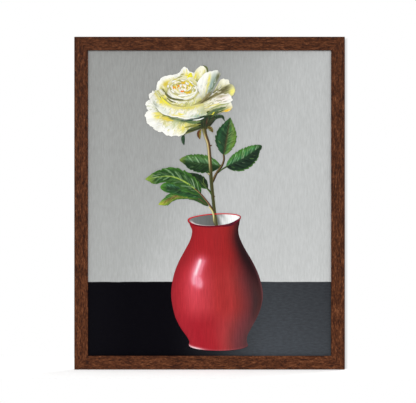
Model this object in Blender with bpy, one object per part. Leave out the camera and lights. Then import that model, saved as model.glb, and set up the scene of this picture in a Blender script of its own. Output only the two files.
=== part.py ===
"""A framed canvas painting: a mitred wooden frame, a canvas stretched over a keyed bar frame that sits
in the frame's rebate under offset clips, a sawtooth hanger and two wall bumpers.

Metres, +Z up, the picture faces -Y. The origin is the hanging point: the underside of the hanger's
middle notch, in the plane of the frame's back.
"""

import math

import bmesh
import bpy
from mathutils import Vector

# ---- Driving dimensions ---------------------------------------------------------------------------

CANVAS_WIDTH = 0.400  # over the wrapped cloth
CANVAS_HEIGHT = 0.500
CLOTH = 0.0006  # thickness of the primed cloth
TURN_OVER = 0.022  # width of the cloth's turn-over on the back of the bars

BAR_WIDTH = 0.038  # stretcher bars
BAR_DEPTH = 0.018
BEAD_WIDTH = 0.006  # raised outer bead that holds the cloth off the bar
BEAD_HEIGHT = 0.002
BAR_FALL = 0.0015  # further slope of the bar's front, from the bead to the inner edge
TENON = 0.005  # thickness of the corner tenons

RAIL_FACE = 0.022  # width of the frame's front face
FRAME_DEPTH = 0.030
LIP = 0.005  # thickness of the lip in front of the canvas
LIP_OVERLAP = 0.0045  # how far the lip covers the canvas
CANVAS_PLAY = 0.0015  # room round the canvas in the rebate
OUTER_ARRIS = 0.0012  # rounding of the frame's front edges
INNER_ARRIS = 0.0008

TOUCH = 0.0003  # gap kept between pieces that touch
PAST = 0.0012  # how far a cutter runs past the surface that it opens
ARC_STEPS = 4
BEND_STEPS = 10
ROUND_SIDES = 24

# Corner nails, V-shaped, driven into the back across each mitre.
CORNER_NAIL_ARM = 0.005
CORNER_NAIL_WALL = 0.0005
CORNER_NAIL_DEPTH = 0.010
CORNER_NAIL_SETBACKS = (0.0035, 0.0095)  # of each nail's apex from both outer edges

# Keys: the wedges in the inner corners of the bars.
KEY_LENGTH = 0.020
KEY_THICKNESS = 0.003
KEY_ROOT = 0.006  # how deep a key stands in its slot
KEY_TALL = 0.006  # height of the wide end above the bar
KEY_LOW = 0.0015
KEY_START = 0.003  # from the inner corner to the key on the top or bottom bar
KEYS_APART = 0.004  # from that key's wide end to the key on the side bar

# Offset clips, which hold the canvas in the rebate, and their screws.
CLIP_WIDTH = 0.014
CLIP_SHEET = 0.0010
CLIP_MARGIN = 0.003  # from the end of the clip's foot to the frame's outer edge
CLIP_BEND = 0.005  # length of the bend between foot and toe
CLIP_TOE = 0.010  # length of the toe on the canvas
CLIP_CORNER = 0.002  # rounding of its four corners
CLIPS_FROM_MIDDLE_Z = 0.130  # of the side clips, above and below the middle
CLIPS_FROM_MIDDLE_X = 0.090  # of the top and bottom clips, to either side of the middle
SCREW_HEAD_RADIUS = 0.0032
SCREW_HEAD_HEIGHT = 0.0018
SCREW_SHANK_RADIUS = 0.0015
SCREW_LENGTH = 0.012
CROSS_REACH = 0.0019  # of the cross recess, from its middle
CROSS_WIDTH = 0.0008
CROSS_DEPTH = 0.0011

# Sawtooth hanger, its two nails, and the wall bumpers.
HANGER_LENGTH = 0.046
HANGER_HEIGHT = 0.010
HANGER_SHEET = 0.0008
HANGER_TAB = 0.009  # flat tab at each end
HANGER_BOW = 0.0020  # how far the toothed middle stands off the tabs
TOOTH_PITCH = 0.0026
TOOTH_HEIGHT = 0.0014
NAIL_HEAD_RADIUS = 0.0022
NAIL_HEAD_HEIGHT = 0.0008
NAIL_SHANK_RADIUS = 0.0008
NAIL_LENGTH = 0.011
BUMPER_RADIUS = 0.0045
BUMPER_HEIGHT = 0.0030
BUMPER_EDGE = 0.0010
BUMPER_CLEAR = 0.001  # from the corner nails

# ---- Sizes that follow ----------------------------------------------------------------------------

REBATE = LIP_OVERLAP + CANVAS_PLAY
RAIL_BACK = RAIL_FACE - REBATE  # width of the rail behind the lip
OUTER_WIDTH = CANVAS_WIDTH - 2 * LIP_OVERLAP + 2 * RAIL_FACE
OUTER_HEIGHT = CANVAS_HEIGHT - 2 * LIP_OVERLAP + 2 * RAIL_FACE

SHELF_Y = -FRAME_DEPTH + LIP  # back of the lip
CANVAS_FRONT_Y = SHELF_Y + TOUCH
BAR_FRONT_Y = CANVAS_FRONT_Y + CLOTH + TOUCH
BAR_BACK_Y = BAR_FRONT_Y + BAR_DEPTH
CANVAS_BACK_Y = BAR_BACK_Y + TOUCH + CLOTH  # outside of the turn-over
BAR_MIDDLE_Y = (BAR_FRONT_Y + BEAD_HEIGHT + BAR_FALL + BAR_BACK_Y) / 2

BARS_WIDTH = CANVAS_WIDTH - 2 * (CLOTH + TOUCH)
BARS_HEIGHT = CANVAS_HEIGHT - 2 * (CLOTH + TOUCH)

# A clip's places, measured out from the canvas edge. One that falls to a sunk canvas bends past the
# rail's inner edge, and one that rises to a proud canvas bends before it.
CLIP_BEND_START = CANVAS_PLAY + (CLIP_BEND if CANVAS_BACK_Y > 0 else 0)
CLIP_END = CANVAS_PLAY + RAIL_BACK - CLIP_MARGIN
CLIP_SCREW_OUT = (CLIP_BEND_START + CLIP_END) / 2

TOOTHED = HANGER_LENGTH - 2 * (HANGER_TAB + HANGER_BOW)  # the length that can hold teeth
TEETH = 2 * math.floor(TOOTHED / TOOTH_PITCH / 2)  # an even number, so a notch lies in the middle
HANGER_BELOW_TOP = (RAIL_BACK - HANGER_HEIGHT) / 2  # from the frame's top edge to the hanger's
HANGER_TOP_Z = OUTER_HEIGHT / 2 - HANGER_BELOW_TOP
HANGER_NAIL_X = HANGER_LENGTH / 2 - HANGER_TAB / 2
HANGER_NAIL_Z = HANGER_TOP_Z - HANGER_HEIGHT / 2

HANG_BELOW_TOP = HANGER_BELOW_TOP + HANGER_HEIGHT - TOOTH_HEIGHT  # the notches' depth below the top
CENTRE_Z = HANG_BELOW_TOP - OUTER_HEIGHT / 2  # height of the picture's middle

QUARTER = math.pi / 2
CORNERS = {"top_left": (-1, 1), "top_right": (1, 1), "bottom_left": (-1, -1), "bottom_right": (1, -1)}

# ---- Blender helpers ------------------------------------------------------------------------------

materials = {}


def material(name, colour, roughness, metallic=0.0):
    """One Principled material for each finish, made once."""
    if name not in materials:
        made = bpy.data.materials.new(name)
        made.use_nodes = True
        shader = made.node_tree.nodes["Principled BSDF"]
        shader.inputs["Base Color"].default_value = (*colour, 1)
        shader.inputs["Roughness"].default_value = roughness
        shader.inputs["Metallic"].default_value = metallic
        made.diffuse_color = (*colour, 1)
        materials[name] = made
    return materials[name]


def frame_wood():
    return material("frame_wood", (0.11, 0.040, 0.018), 0.5)


def bar_wood():
    return material("bar_wood", (0.62, 0.44, 0.26), 0.7)


def cloth():
    return material("canvas", (0.50, 0.50, 0.48), 0.6)


def steel():
    return material("steel", (0.55, 0.55, 0.56), 0.35, 1.0)


def brass():
    return material("brass", (0.70, 0.50, 0.20), 0.35, 1.0)


def rubber():
    return material("rubber", (0.03, 0.03, 0.03), 0.8)


def mesh_of(name, vertices, faces):
    mesh = bpy.data.meshes.new(name)
    mesh.from_pydata(vertices, [], faces)
    shape = bmesh.new()
    shape.from_mesh(mesh)
    bmesh.ops.recalc_face_normals(shape, faces=shape.faces)
    shape.to_mesh(mesh)
    shape.free()
    return mesh


def add(name, mesh, finish, location=(0, 0, 0), turn=0.0):
    """A named sub-part on the picture's middle, turned about Y."""
    part = bpy.data.objects.new(name, mesh)
    bpy.context.scene.collection.objects.link(part)
    part.parent = bpy.data.objects["picture_middle"]
    part.location = location
    part.rotation_euler = (0, turn, 0)
    if finish:
        mesh.materials.clear()
        mesh.materials.append(finish)
    return part


def add_cutter(name, mesh):
    cutter = add(name, mesh, None)
    cutter.hide_render = True
    cutter.display_type = "WIRE"
    return cutter


def apply_boolean(part, cutter, operation="DIFFERENCE"):
    modifier = part.modifiers.new(cutter.name, "BOOLEAN")
    modifier.object = cutter
    modifier.operation = operation
    modifier.solver = "EXACT"


def joined(pieces):
    """One (vertices, faces) pair from several."""
    vertices, faces = [], []
    for more_vertices, more_faces in pieces:
        start = len(vertices)
        vertices += more_vertices
        faces += [[start + i for i in face] for face in more_faces]
    return vertices, faces


def between(rings):
    """Vertices and faces of a closed solid skinned over rings of as many points each."""
    n = len(rings[0])
    faces = [list(range(n)), list(range((len(rings) - 1) * n, len(rings) * n))]
    for start in range(0, (len(rings) - 1) * n, n):
        faces += [[start + i, start + (i + 1) % n, start + n + (i + 1) % n, start + n + i] for i in range(n)]
    return [Vector(point) for ring in rings for point in ring], faces


def prism(outline, near, far):
    """An outline of (x, z) points run along Y from near to far."""
    return between([[(x, y, z) for x, z in outline] for y in (near, far)])


def rectangle(low_x, low_z, high_x, high_z):
    return [(low_x, low_z), (high_x, low_z), (high_x, high_z), (low_x, high_z)]


def turned(profile, x=0.0, z=0.0, sides=ROUND_SIDES):
    """Vertices and faces of a profile of (radius, y) points turned about the Y line through (x, z).
    The first and last points lie on the axis."""
    vertices = [Vector((x, profile[0][1], z))]
    for radius, y in profile[1:-1]:
        for k in range(sides):
            angle = 2 * math.pi * k / sides
            vertices.append(Vector((x + radius * math.cos(angle), y, z + radius * math.sin(angle))))
    vertices.append(Vector((x, profile[-1][1], z)))
    rings = len(profile) - 2
    faces = []
    for k in range(sides):
        after = (k + 1) % sides
        faces.append([0, 1 + k, 1 + after])
        for ring in range(rings - 1):
            low, high = 1 + ring * sides, 1 + (ring + 1) * sides
            faces.append([low + k, high + k, high + after, low + after])
        last = 1 + (rings - 1) * sides
        faces.append([last + k, len(vertices) - 1, last + after])
    return vertices, faces


def pin_cutter(radius, high, deep, x, z):
    """A round hole about the Y line through (x, z), from y = high down to y = -deep."""
    return turned([(0, high), (radius, high), (radius, -deep), (0, -deep)], x, z)


def pin_profile(head_radius, head_height, shank_radius, length):
    """A nail or screw: a domed head whose underside is at y = 0, a shank along -Y and a pointed end."""
    steps = [QUARTER * k / ARC_STEPS for k in range(ARC_STEPS + 1)]
    dome = [(head_radius * math.sin(a), head_height * math.cos(a)) for a in steps]
    return dome + [(shank_radius, 0), (shank_radius, 2 * shank_radius - length), (0, -length)]


def arc(centre, radius, start, end):
    """Points of an arc about centre, from angle start to end."""
    return [
        (
            centre[0] + radius * math.cos(start + (end - start) * k / ARC_STEPS),
            centre[1] + radius * math.sin(start + (end - start) * k / ARC_STEPS),
        )
        for k in range(ARC_STEPS + 1)
    ]


# ---- Mitred bars ----------------------------------------------------------------------------------


def mitred_mesh(name, profile, outer_length):
    """A bar along X with mitred ends. The profile's points are (u, y): u runs in from the outer edge.
    Each end is cut back by half the gap, measured square to the mitre."""
    half_length = outer_length / 2 - TOUCH / 2 * math.sqrt(2)
    ends = [[(side * (half_length - u), y, -u) for u, y in profile] for side in (-1, 1)]
    return mesh_of(name, *between(ends))


def four_bars(stem, profile, width, height, finish):
    """The top, bottom, left and right bars of a rectangle, as {side: object}."""
    places = {
        "top": ((0, 0, height / 2), 0, width),
        "bottom": ((0, 0, -height / 2), 2 * QUARTER, width),
        "left": ((-width / 2, 0, 0), -QUARTER, height),
        "right": ((width / 2, 0, 0), QUARTER, height),
    }
    bars = {}
    for side, (place, turn, length) in places.items():
        name = f"{stem}_{side}"
        bars[side] = add(name, mitred_mesh(name, profile, length), finish, place, turn)
    return bars


def rail_profile():
    """The frame moulding: a flat face with eased edges, and a rebate behind the lip."""
    front = -FRAME_DEPTH
    outer_edge = arc((OUTER_ARRIS, front + OUTER_ARRIS), OUTER_ARRIS, -2 * QUARTER, -QUARTER)
    inner_edge = arc((RAIL_FACE - INNER_ARRIS, front + INNER_ARRIS), INNER_ARRIS, -QUARTER, 0)
    rebate = [(RAIL_FACE, SHELF_Y), (RAIL_BACK, SHELF_Y), (RAIL_BACK, 0), (0, 0)]
    return outer_edge + inner_edge + rebate


def bar_profile():
    """The stretcher bar: a rounded bead along the outer edge of the front, then a slope inwards."""
    bead = arc((BEAD_HEIGHT, BAR_FRONT_Y + BEAD_HEIGHT), BEAD_HEIGHT, -2 * QUARTER, -QUARTER)
    slope = [
        (BEAD_WIDTH - BEAD_HEIGHT, BAR_FRONT_Y),
        (BEAD_WIDTH, BAR_FRONT_Y + BEAD_HEIGHT),
        (BAR_WIDTH, BAR_FRONT_Y + BEAD_HEIGHT + BAR_FALL),
    ]
    return bead + slope + [(BAR_WIDTH, BAR_BACK_Y), (0, BAR_BACK_Y)]


# ---- Where the fasteners go -----------------------------------------------------------------------


def clip_places():
    """{name: (x, z, turn)} of each clip's point on the canvas edge. Unturned, a clip's foot points up."""
    half_width, half_height = CANVAS_WIDTH / 2, CANVAS_HEIGHT / 2
    along_x, along_z = CLIPS_FROM_MIDDLE_X, CLIPS_FROM_MIDDLE_Z
    return {
        "top_left": (-along_x, half_height, 0),
        "top_right": (along_x, half_height, 0),
        "bottom_left": (-along_x, -half_height, 2 * QUARTER),
        "bottom_right": (along_x, -half_height, 2 * QUARTER),
        "left_upper": (-half_width, along_z, -QUARTER),
        "left_lower": (-half_width, -along_z, -QUARTER),
        "right_upper": (half_width, along_z, QUARTER),
        "right_lower": (half_width, -along_z, QUARTER),
    }


def outward(turn):
    """The (x, z) direction that a clip's foot points in."""
    return math.sin(turn), math.cos(turn)


def clip_screw_place(x, z, turn):
    out_x, out_z = outward(turn)
    return x + out_x * CLIP_SCREW_OUT, z + out_z * CLIP_SCREW_OUT


# ---- Frame ----------------------------------------------------------------------------------------


def corner_nail_outline(corner, setback, grow=0.0):
    """An L about the mitre: one arm runs into each rail. grow widens it all round."""
    side_x, side_z = CORNERS[corner]
    apex, wall = setback - grow, CORNER_NAIL_WALL + 2 * grow
    arm = CORNER_NAIL_ARM + 2 * grow
    inwards = [(0, 0), (arm, 0), (arm, wall), (wall, wall), (wall, arm), (0, arm)]
    return [
        (side_x * (OUTER_WIDTH / 2 - apex - u), side_z * (OUTER_HEIGHT / 2 - apex - v))
        for u, v in inwards
    ]


def corner_nails():
    """Two nails in the back of each mitre."""
    for corner in CORNERS:
        for place, setback in zip(("outer", "inner"), CORNER_NAIL_SETBACKS):
            name = f"corner_nail_{corner}_{place}"
            shape = prism(corner_nail_outline(corner, setback), -CORNER_NAIL_DEPTH, -TOUCH)
            add(name, mesh_of(name, *shape), steel())


def frame_cutter():
    """Every slot and pilot hole in the frame's back, in one cutter."""
    cuts = []
    for corner in CORNERS:
        for setback in CORNER_NAIL_SETBACKS:
            outline = corner_nail_outline(corner, setback, TOUCH)
            cuts.append(prism(outline, -CORNER_NAIL_DEPTH - TOUCH, PAST))
    for x, z, turn in clip_places().values():
        screw_x, screw_z = clip_screw_place(x, z, turn)
        cuts.append(pin_cutter(SCREW_SHANK_RADIUS + TOUCH, PAST, SCREW_LENGTH, screw_x, screw_z))
    for x in (-HANGER_NAIL_X, HANGER_NAIL_X):
        cuts.append(pin_cutter(NAIL_SHANK_RADIUS + TOUCH, PAST, NAIL_LENGTH, x, HANGER_NAIL_Z))
    return add_cutter("frame_cuts", mesh_of("frame_cuts", *joined(cuts)))


def frame():
    rails = four_bars("frame_rail", rail_profile(), OUTER_WIDTH, OUTER_HEIGHT, frame_wood())
    cutter = frame_cutter()
    for rail in rails.values():
        apply_boolean(rail, cutter)
    corner_nails()


# ---- Stretcher ------------------------------------------------------------------------------------


def tenon_boxes(corners, grow=0.0):
    """The square tenon in each corner, in the bars' middle layer. The tenons belong to the top and
    bottom bars, and grow makes the slots that they leave in the side bars."""
    boxes = []
    half_width, half_height = BARS_WIDTH / 2, BARS_HEIGHT / 2
    inset, past = BAR_WIDTH + grow, grow * 2
    for side_x, side_z in corners:
        xs = sorted((side_x * (half_width - inset), side_x * (half_width + past)))
        zs = sorted((side_z * (half_height - inset), side_z * (half_height + past)))
        y_low, y_high = BAR_MIDDLE_Y - TENON / 2 - grow, BAR_MIDDLE_Y + TENON / 2 + grow
        boxes.append(prism(rectangle(xs[0], zs[0], xs[1], zs[1]), y_low, y_high))
    return boxes


def key_frame(corner, on_side_bar):
    """(start, along, across) of a key: the point on the bar's inner edge where it starts, the direction
    along the bar away from the corner, and the direction off the bar into the opening."""
    side_x, side_z = CORNERS[corner]
    inner_x = side_x * (BARS_WIDTH / 2 - BAR_WIDTH)
    inner_z = side_z * (BARS_HEIGHT / 2 - BAR_WIDTH)
    if on_side_bar:
        start_z = inner_z - side_z * (KEY_TALL + KEYS_APART)
        return (inner_x, start_z), (0, -side_z), (-side_x, 0)
    return (inner_x - side_x * KEY_START, inner_z), (-side_x, 0), (0, -side_z)


def key_outline(corner, on_side_bar, points):
    """The (x, z) outline of points given as (along the bar, off the bar)."""
    start, along, across = key_frame(corner, on_side_bar)
    return [
        (start[0] + a * along[0] + b * across[0], start[1] + a * along[1] + b * across[1])
        for a, b in points
    ]


def keys():
    """Two wedges in each inner corner, one in the slot of each bar."""
    wedge = [(0, -KEY_ROOT), (KEY_LENGTH, -KEY_ROOT), (KEY_LENGTH, KEY_LOW), (0, KEY_TALL)]
    for corner in CORNERS:
        for bar, on_side_bar in (("across", False), ("upright", True)):
            name = f"stretcher_key_{corner}_{bar}"
            outline = key_outline(corner, on_side_bar, wedge)
            y_low, y_high = BAR_MIDDLE_Y - KEY_THICKNESS / 2, BAR_MIDDLE_Y + KEY_THICKNESS / 2
            add(name, mesh_of(name, *prism(outline, y_low, y_high)), bar_wood())


def key_slots():
    """The keys' slots, open to the inner edge of each bar."""
    slots = []
    slot = rectangle(-TOUCH, -KEY_ROOT - TOUCH, KEY_LENGTH + TOUCH, PAST)
    half = KEY_THICKNESS / 2 + TOUCH
    for corner in CORNERS:
        for on_side_bar in (False, True):
            outline = key_outline(corner, on_side_bar, slot)
            slots.append(prism(outline, BAR_MIDDLE_Y - half, BAR_MIDDLE_Y + half))
    return slots


def stretcher():
    bars = four_bars("stretcher_bar", bar_profile(), BARS_WIDTH, BARS_HEIGHT, bar_wood())
    corners = list(CORNERS.values())
    for side, pair in (("top", corners[:2]), ("bottom", corners[2:])):
        tenons = mesh_of(f"tenons_{side}", *joined(tenon_boxes(pair)))
        apply_boolean(bars[side], add_cutter(f"tenons_{side}", tenons), "UNION")
    mortises = add_cutter("mortises", mesh_of("mortises", *joined(tenon_boxes(corners, TOUCH))))
    for side in ("left", "right"):
        apply_boolean(bars[side], mortises)
    slots = add_cutter("key_slots", mesh_of("key_slots", *joined(key_slots())))
    for bar in bars.values():
        apply_boolean(bar, slots)
    keys()


# ---- Canvas ---------------------------------------------------------------------------------------


def canvas():
    """The painted cloth: a front, four sides over the bars and a turn-over on their backs."""

    def slab(inset, near, far):
        half_width, half_height = CANVAS_WIDTH / 2 - inset, CANVAS_HEIGHT / 2 - inset
        return prism(rectangle(-half_width, -half_height, half_width, half_height), near, far)

    whole = mesh_of("canvas", *slab(0, CANVAS_FRONT_Y, CANVAS_BACK_Y))
    room = mesh_of("canvas_room", *slab(CLOTH, CANVAS_FRONT_Y + CLOTH, CANVAS_BACK_Y - CLOTH))
    window = mesh_of("canvas_window", *slab(TURN_OVER, BAR_MIDDLE_Y, CANVAS_BACK_Y + PAST))
    cloth_piece = add("canvas", whole, cloth())
    for cutter in (room, window):
        apply_boolean(cloth_piece, add_cutter(cutter.name, cutter))


# ---- Fasteners and hardware -----------------------------------------------------------------------


def cut_mesh(name, mesh, cutter):
    """The mesh that is left when the cutter's shape is taken from it."""
    blank = add(name, mesh, None)
    apply_boolean(blank, cutter)
    bpy.context.view_layer.update()
    graph = bpy.context.evaluated_depsgraph_get()
    cut = bpy.data.meshes.new_from_object(blank.evaluated_get(graph))
    bpy.data.objects.remove(blank)
    return cut


def screw_mesh():
    """A round-head screw with a cross recess."""
    profile = pin_profile(SCREW_HEAD_RADIUS, SCREW_HEAD_HEIGHT, SCREW_SHANK_RADIUS, SCREW_LENGTH)
    far, half = CROSS_REACH, CROSS_WIDTH / 2
    arm = ((half, -half), (far, -half), (far, half))
    cross = []
    for cos, sin in ((1, 0), (0, 1), (-1, 0), (0, -1)):
        cross += [(x * cos - z * sin, x * sin + z * cos) for x, z in arm]
    recess = prism(cross, SCREW_HEAD_HEIGHT - CROSS_DEPTH, SCREW_HEAD_HEIGHT + PAST)
    cutter = add_cutter("recess", mesh_of("recess", *recess))
    return cut_mesh("screw_blank", mesh_of("screw_blank", *turned(profile)), cutter)


def clip_side_view():
    """The bent strip as (z, y) points. Its underside runs level along the frame's back, falls or rises
    in a smooth S, and runs level along the canvas. The upper side is the same line moved by the
    sheet's thickness, square to it."""
    foot_y, toe_y = TOUCH, CANVAS_BACK_Y + TOUCH
    under, slopes = [(CLIP_END, foot_y)], [0]
    for k in range(BEND_STEPS + 1):
        t = k / BEND_STEPS
        under.append((CLIP_BEND_START - CLIP_BEND * t, foot_y + (toe_y - foot_y) * t * t * (3 - 2 * t)))
        slopes.append(-(toe_y - foot_y) * 6 * t * (1 - t) / CLIP_BEND)
    under.append((CLIP_BEND_START - CLIP_BEND - CLIP_TOE, toe_y))
    slopes.append(0)
    upper = []
    for (z, y), slope in zip(under, slopes):
        reach = CLIP_SHEET / math.hypot(1, slope)
        upper.append((z - slope * reach, y + reach))
    return under + upper[::-1]


def clip_mesh():
    """The strip with rounded corners, and a screw hole through its foot."""
    side_view = clip_side_view()
    strip = between([[(side * CLIP_WIDTH / 2, y, z) for z, y in side_view] for side in (-1, 1)])
    mesh = mesh_of("clip_blank", *strip)
    shape = bmesh.new()
    shape.from_mesh(mesh)
    ends = (max(side_view)[0], min(side_view)[0])

    def is_corner(edge):
        """True of the short edges through the sheet at its four corners."""
        first, last = (vertex.co for vertex in edge.verts)
        along_y = abs(first.x - last.x) < TOUCH / 2 and abs(first.z - last.z) < TOUCH / 2
        return along_y and any(abs(first.z - end) < TOUCH / 2 for end in ends)

    corners = [edge for edge in shape.edges if is_corner(edge)]
    bmesh.ops.bevel(shape, geom=corners, offset=CLIP_CORNER, segments=ARC_STEPS, affect="EDGES")
    shape.to_mesh(mesh)
    shape.free()
    hole = pin_cutter(SCREW_SHANK_RADIUS + TOUCH, TOUCH + CLIP_SHEET + PAST, PAST, 0, CLIP_SCREW_OUT)
    return cut_mesh("clip_blank", mesh, add_cutter("clip_hole", mesh_of("clip_hole", *hole)))


def clips():
    clip, screw = clip_mesh(), screw_mesh()
    seat_y = TOUCH + CLIP_SHEET + TOUCH  # the screw head's underside
    for name, (x, z, turn) in clip_places().items():
        add(f"clip_{name}", clip, steel(), (x, 0, z), turn)
        screw_x, screw_z = clip_screw_place(x, z, turn)
        add(f"clip_screw_{name}", screw, steel(), (screw_x, seat_y, screw_z), turn)


def hanger():
    """A toothed strip whose middle bows off the frame's back, held by a nail in each end tab. Its
    sections are (x, how far it stands off, how far the lower edge is cut up)."""
    end = -HANGER_LENGTH / 2
    bend = end + HANGER_TAB  # the bend runs along as far as it rises
    left = [(end, 0, 0), (bend, 0, 0), (bend + HANGER_BOW, HANGER_BOW, 0)]
    teeth_start = -TEETH * TOOTH_PITCH / 2
    teeth = [
        (teeth_start + k * TOOTH_PITCH / 2, HANGER_BOW, TOOTH_HEIGHT if k % 2 == 0 else 0)
        for k in range(2 * TEETH + 1)
    ]
    right = [(-x, off, cut) for x, off, cut in reversed(left)]
    rings = []
    for x, off, cut in left + teeth + right:
        near, far = TOUCH + off, TOUCH + off + HANGER_SHEET
        low = HANGER_TOP_Z - HANGER_HEIGHT + cut
        rings.append([(x, near, low), (x, near, HANGER_TOP_Z), (x, far, HANGER_TOP_Z), (x, far, low)])
    plate = add("sawtooth_hanger", mesh_of("sawtooth_hanger", *between(rings)), brass())
    radius, high = NAIL_SHANK_RADIUS + TOUCH, TOUCH + HANGER_SHEET + PAST
    holes = [pin_cutter(radius, high, PAST, x, HANGER_NAIL_Z) for x in (-HANGER_NAIL_X, HANGER_NAIL_X)]
    apply_boolean(plate, add_cutter("hanger_holes", mesh_of("hanger_holes", *joined(holes))))


def hanger_nails():
    profile = pin_profile(NAIL_HEAD_RADIUS, NAIL_HEAD_HEIGHT, NAIL_SHANK_RADIUS, NAIL_LENGTH)
    nail = mesh_of("hanger_nail", *turned(profile))
    seat_y = TOUCH + HANGER_SHEET + TOUCH
    for side, x in (("left", -HANGER_NAIL_X), ("right", HANGER_NAIL_X)):
        add(f"hanger_nail_{side}", nail, brass(), (x, seat_y, HANGER_NAIL_Z))


def bumpers():
    """Two rubber discs that hold the frame's foot off the wall."""
    edge = BUMPER_RADIUS - BUMPER_EDGE
    top = TOUCH + BUMPER_HEIGHT
    profile = [(0, TOUCH), (BUMPER_RADIUS, TOUCH), (BUMPER_RADIUS, top - BUMPER_EDGE), (edge, top), (0, top)]
    disc = mesh_of("bumper", *turned(profile))
    from_side = max(CORNER_NAIL_SETBACKS) + CORNER_NAIL_ARM + BUMPER_CLEAR + BUMPER_RADIUS
    for side, x in (("left", -1), ("right", 1)):
        place = (x * (OUTER_WIDTH / 2 - from_side), 0, -OUTER_HEIGHT / 2 + RAIL_BACK / 2)
        add(f"bumper_{side}", disc, rubber(), place)


# ---- The whole picture ----------------------------------------------------------------------------


def shade_round_pieces():
    """Smooth shading on curved faces, with sharp edges kept."""
    for part in bpy.data.objects:
        if part.type == "MESH" and not part.hide_render:
            part.data.shade_smooth()
            part.data.set_sharp_from_angle(angle=math.radians(35))


def main():
    for old in list(bpy.data.objects):
        bpy.data.objects.remove(old)
    middle = bpy.data.objects.new("picture_middle", None)
    bpy.context.scene.collection.objects.link(middle)
    middle.location = (0, 0, CENTRE_Z)
    frame()
    stretcher()
    canvas()
    clips()
    hanger()
    hanger_nails()
    bumpers()
    shade_round_pieces()


main()
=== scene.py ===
import math

import bmesh
import bpy
import numpy as np
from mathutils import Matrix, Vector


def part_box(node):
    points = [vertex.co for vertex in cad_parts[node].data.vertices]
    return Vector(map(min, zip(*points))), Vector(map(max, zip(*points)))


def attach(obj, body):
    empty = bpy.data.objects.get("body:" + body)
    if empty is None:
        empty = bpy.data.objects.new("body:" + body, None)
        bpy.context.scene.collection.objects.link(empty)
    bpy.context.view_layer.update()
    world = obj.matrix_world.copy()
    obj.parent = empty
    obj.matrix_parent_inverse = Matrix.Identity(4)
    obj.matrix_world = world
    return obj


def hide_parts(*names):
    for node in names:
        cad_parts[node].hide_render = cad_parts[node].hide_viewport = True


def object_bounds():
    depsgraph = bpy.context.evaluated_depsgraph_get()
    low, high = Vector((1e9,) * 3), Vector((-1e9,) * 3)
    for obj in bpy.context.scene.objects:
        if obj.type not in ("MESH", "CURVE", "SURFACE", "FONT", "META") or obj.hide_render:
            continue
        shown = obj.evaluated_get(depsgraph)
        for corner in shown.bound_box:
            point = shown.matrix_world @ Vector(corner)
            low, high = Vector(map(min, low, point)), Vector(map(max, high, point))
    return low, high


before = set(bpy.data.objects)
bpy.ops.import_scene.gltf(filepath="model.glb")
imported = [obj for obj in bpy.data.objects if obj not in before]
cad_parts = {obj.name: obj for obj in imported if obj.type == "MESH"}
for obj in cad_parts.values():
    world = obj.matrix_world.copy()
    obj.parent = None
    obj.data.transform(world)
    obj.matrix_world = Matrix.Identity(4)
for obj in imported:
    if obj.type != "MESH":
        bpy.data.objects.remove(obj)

CAD_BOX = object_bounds()

# ---------------------------------------------------------------- sizes, in metres

MM = 0.001
CANVAS_LOW, CANVAS_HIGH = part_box("canvas")
CANVAS_FRONT, CANVAS_BACK = CANVAS_LOW[1], CANVAS_HIGH[1]
CANVAS_HALF_WIDTH = (CANVAS_HIGH[0] - CANVAS_LOW[0]) / 2
CANVAS_HALF_HEIGHT = (CANVAS_HIGH[2] - CANVAS_LOW[2]) / 2
(BOX_LEFT, BOX_FRONT, BOX_FOOT), (BOX_RIGHT, BOX_BACK, BOX_TOP) = CAD_BOX
MIDDLE_X, MIDDLE_Z = (BOX_LEFT + BOX_RIGHT) / 2, (BOX_FOOT + BOX_TOP) / 2
HALF_WIDTH, HALF_HEIGHT = (BOX_RIGHT - BOX_LEFT) / 2, (BOX_TOP - BOX_FOOT) / 2
SEEN_HALF_WIDTH, SEEN_HALF_HEIGHT = 195.5 * MM, 245.5 * MM
CLOTH = 0.6 * MM
TURN_OVER = 22 * MM
TABLE_LINE = MIDDLE_Z - 126.6 * MM
NOISE_LOW, NOISE_HIGH = 0.3, 0.7
CORNERS = ((-1, -1), (-1, 1), (1, -1), (1, 1))


# ---------------------------------------------------------------- colour and mesh helpers

def linear(colours):
    """Linear values of 0 to 255 screen values: c/12.92 below 0.04045, else ((c+0.055)/1.055)^2.4."""
    c = np.asarray(colours, float) / 255
    return np.where(c < 0.04045, c / 12.92, ((c + 0.055) / 1.055) ** 2.4)


def socket_colour(*colour):
    """A screen colour as four linear numbers for a shader socket."""
    return (*(float(v) for v in linear(colour)), 1.0)


def grid_quads(rows, columns, closed=False):
    """Corner numbers of the quads of a rows x columns grid: cell (r, c) joins (r, c), (r+1, c), (r+1, c+1)
    and (r, c+1), and a closed grid joins its last column to its first."""
    r, c = np.meshgrid(np.arange(rows - 1), np.arange(columns if closed else columns - 1), indexing="ij")
    beside = (c + 1) % columns
    corners = [r * columns + c, (r + 1) * columns + c, (r + 1) * columns + beside, r * columns + beside]
    return np.stack(corners, -1).reshape(-1, 4)


def slab_quads(rows, columns):
    """The quads of a closed slab: a grid, the same grid set behind it and facing the other way, and a strip
    that joins their borders."""
    size = rows * columns
    face = grid_quads(rows, columns)[:, ::-1]
    index = np.arange(size).reshape(rows, columns)
    border = np.concatenate([index[0, :-1], index[:-1, -1], index[-1, :0:-1], index[:0:-1, 0]])
    after = np.roll(border, -1)
    rim = np.stack([border, border + size, after + size, after], 1)
    return np.concatenate([face, face[:, ::-1] + size, rim])


def in_scene(name, data):
    """A new object in the scene that holds the data."""
    made = bpy.data.objects.new(name, data)
    bpy.context.scene.collection.objects.link(made)
    return made


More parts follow.
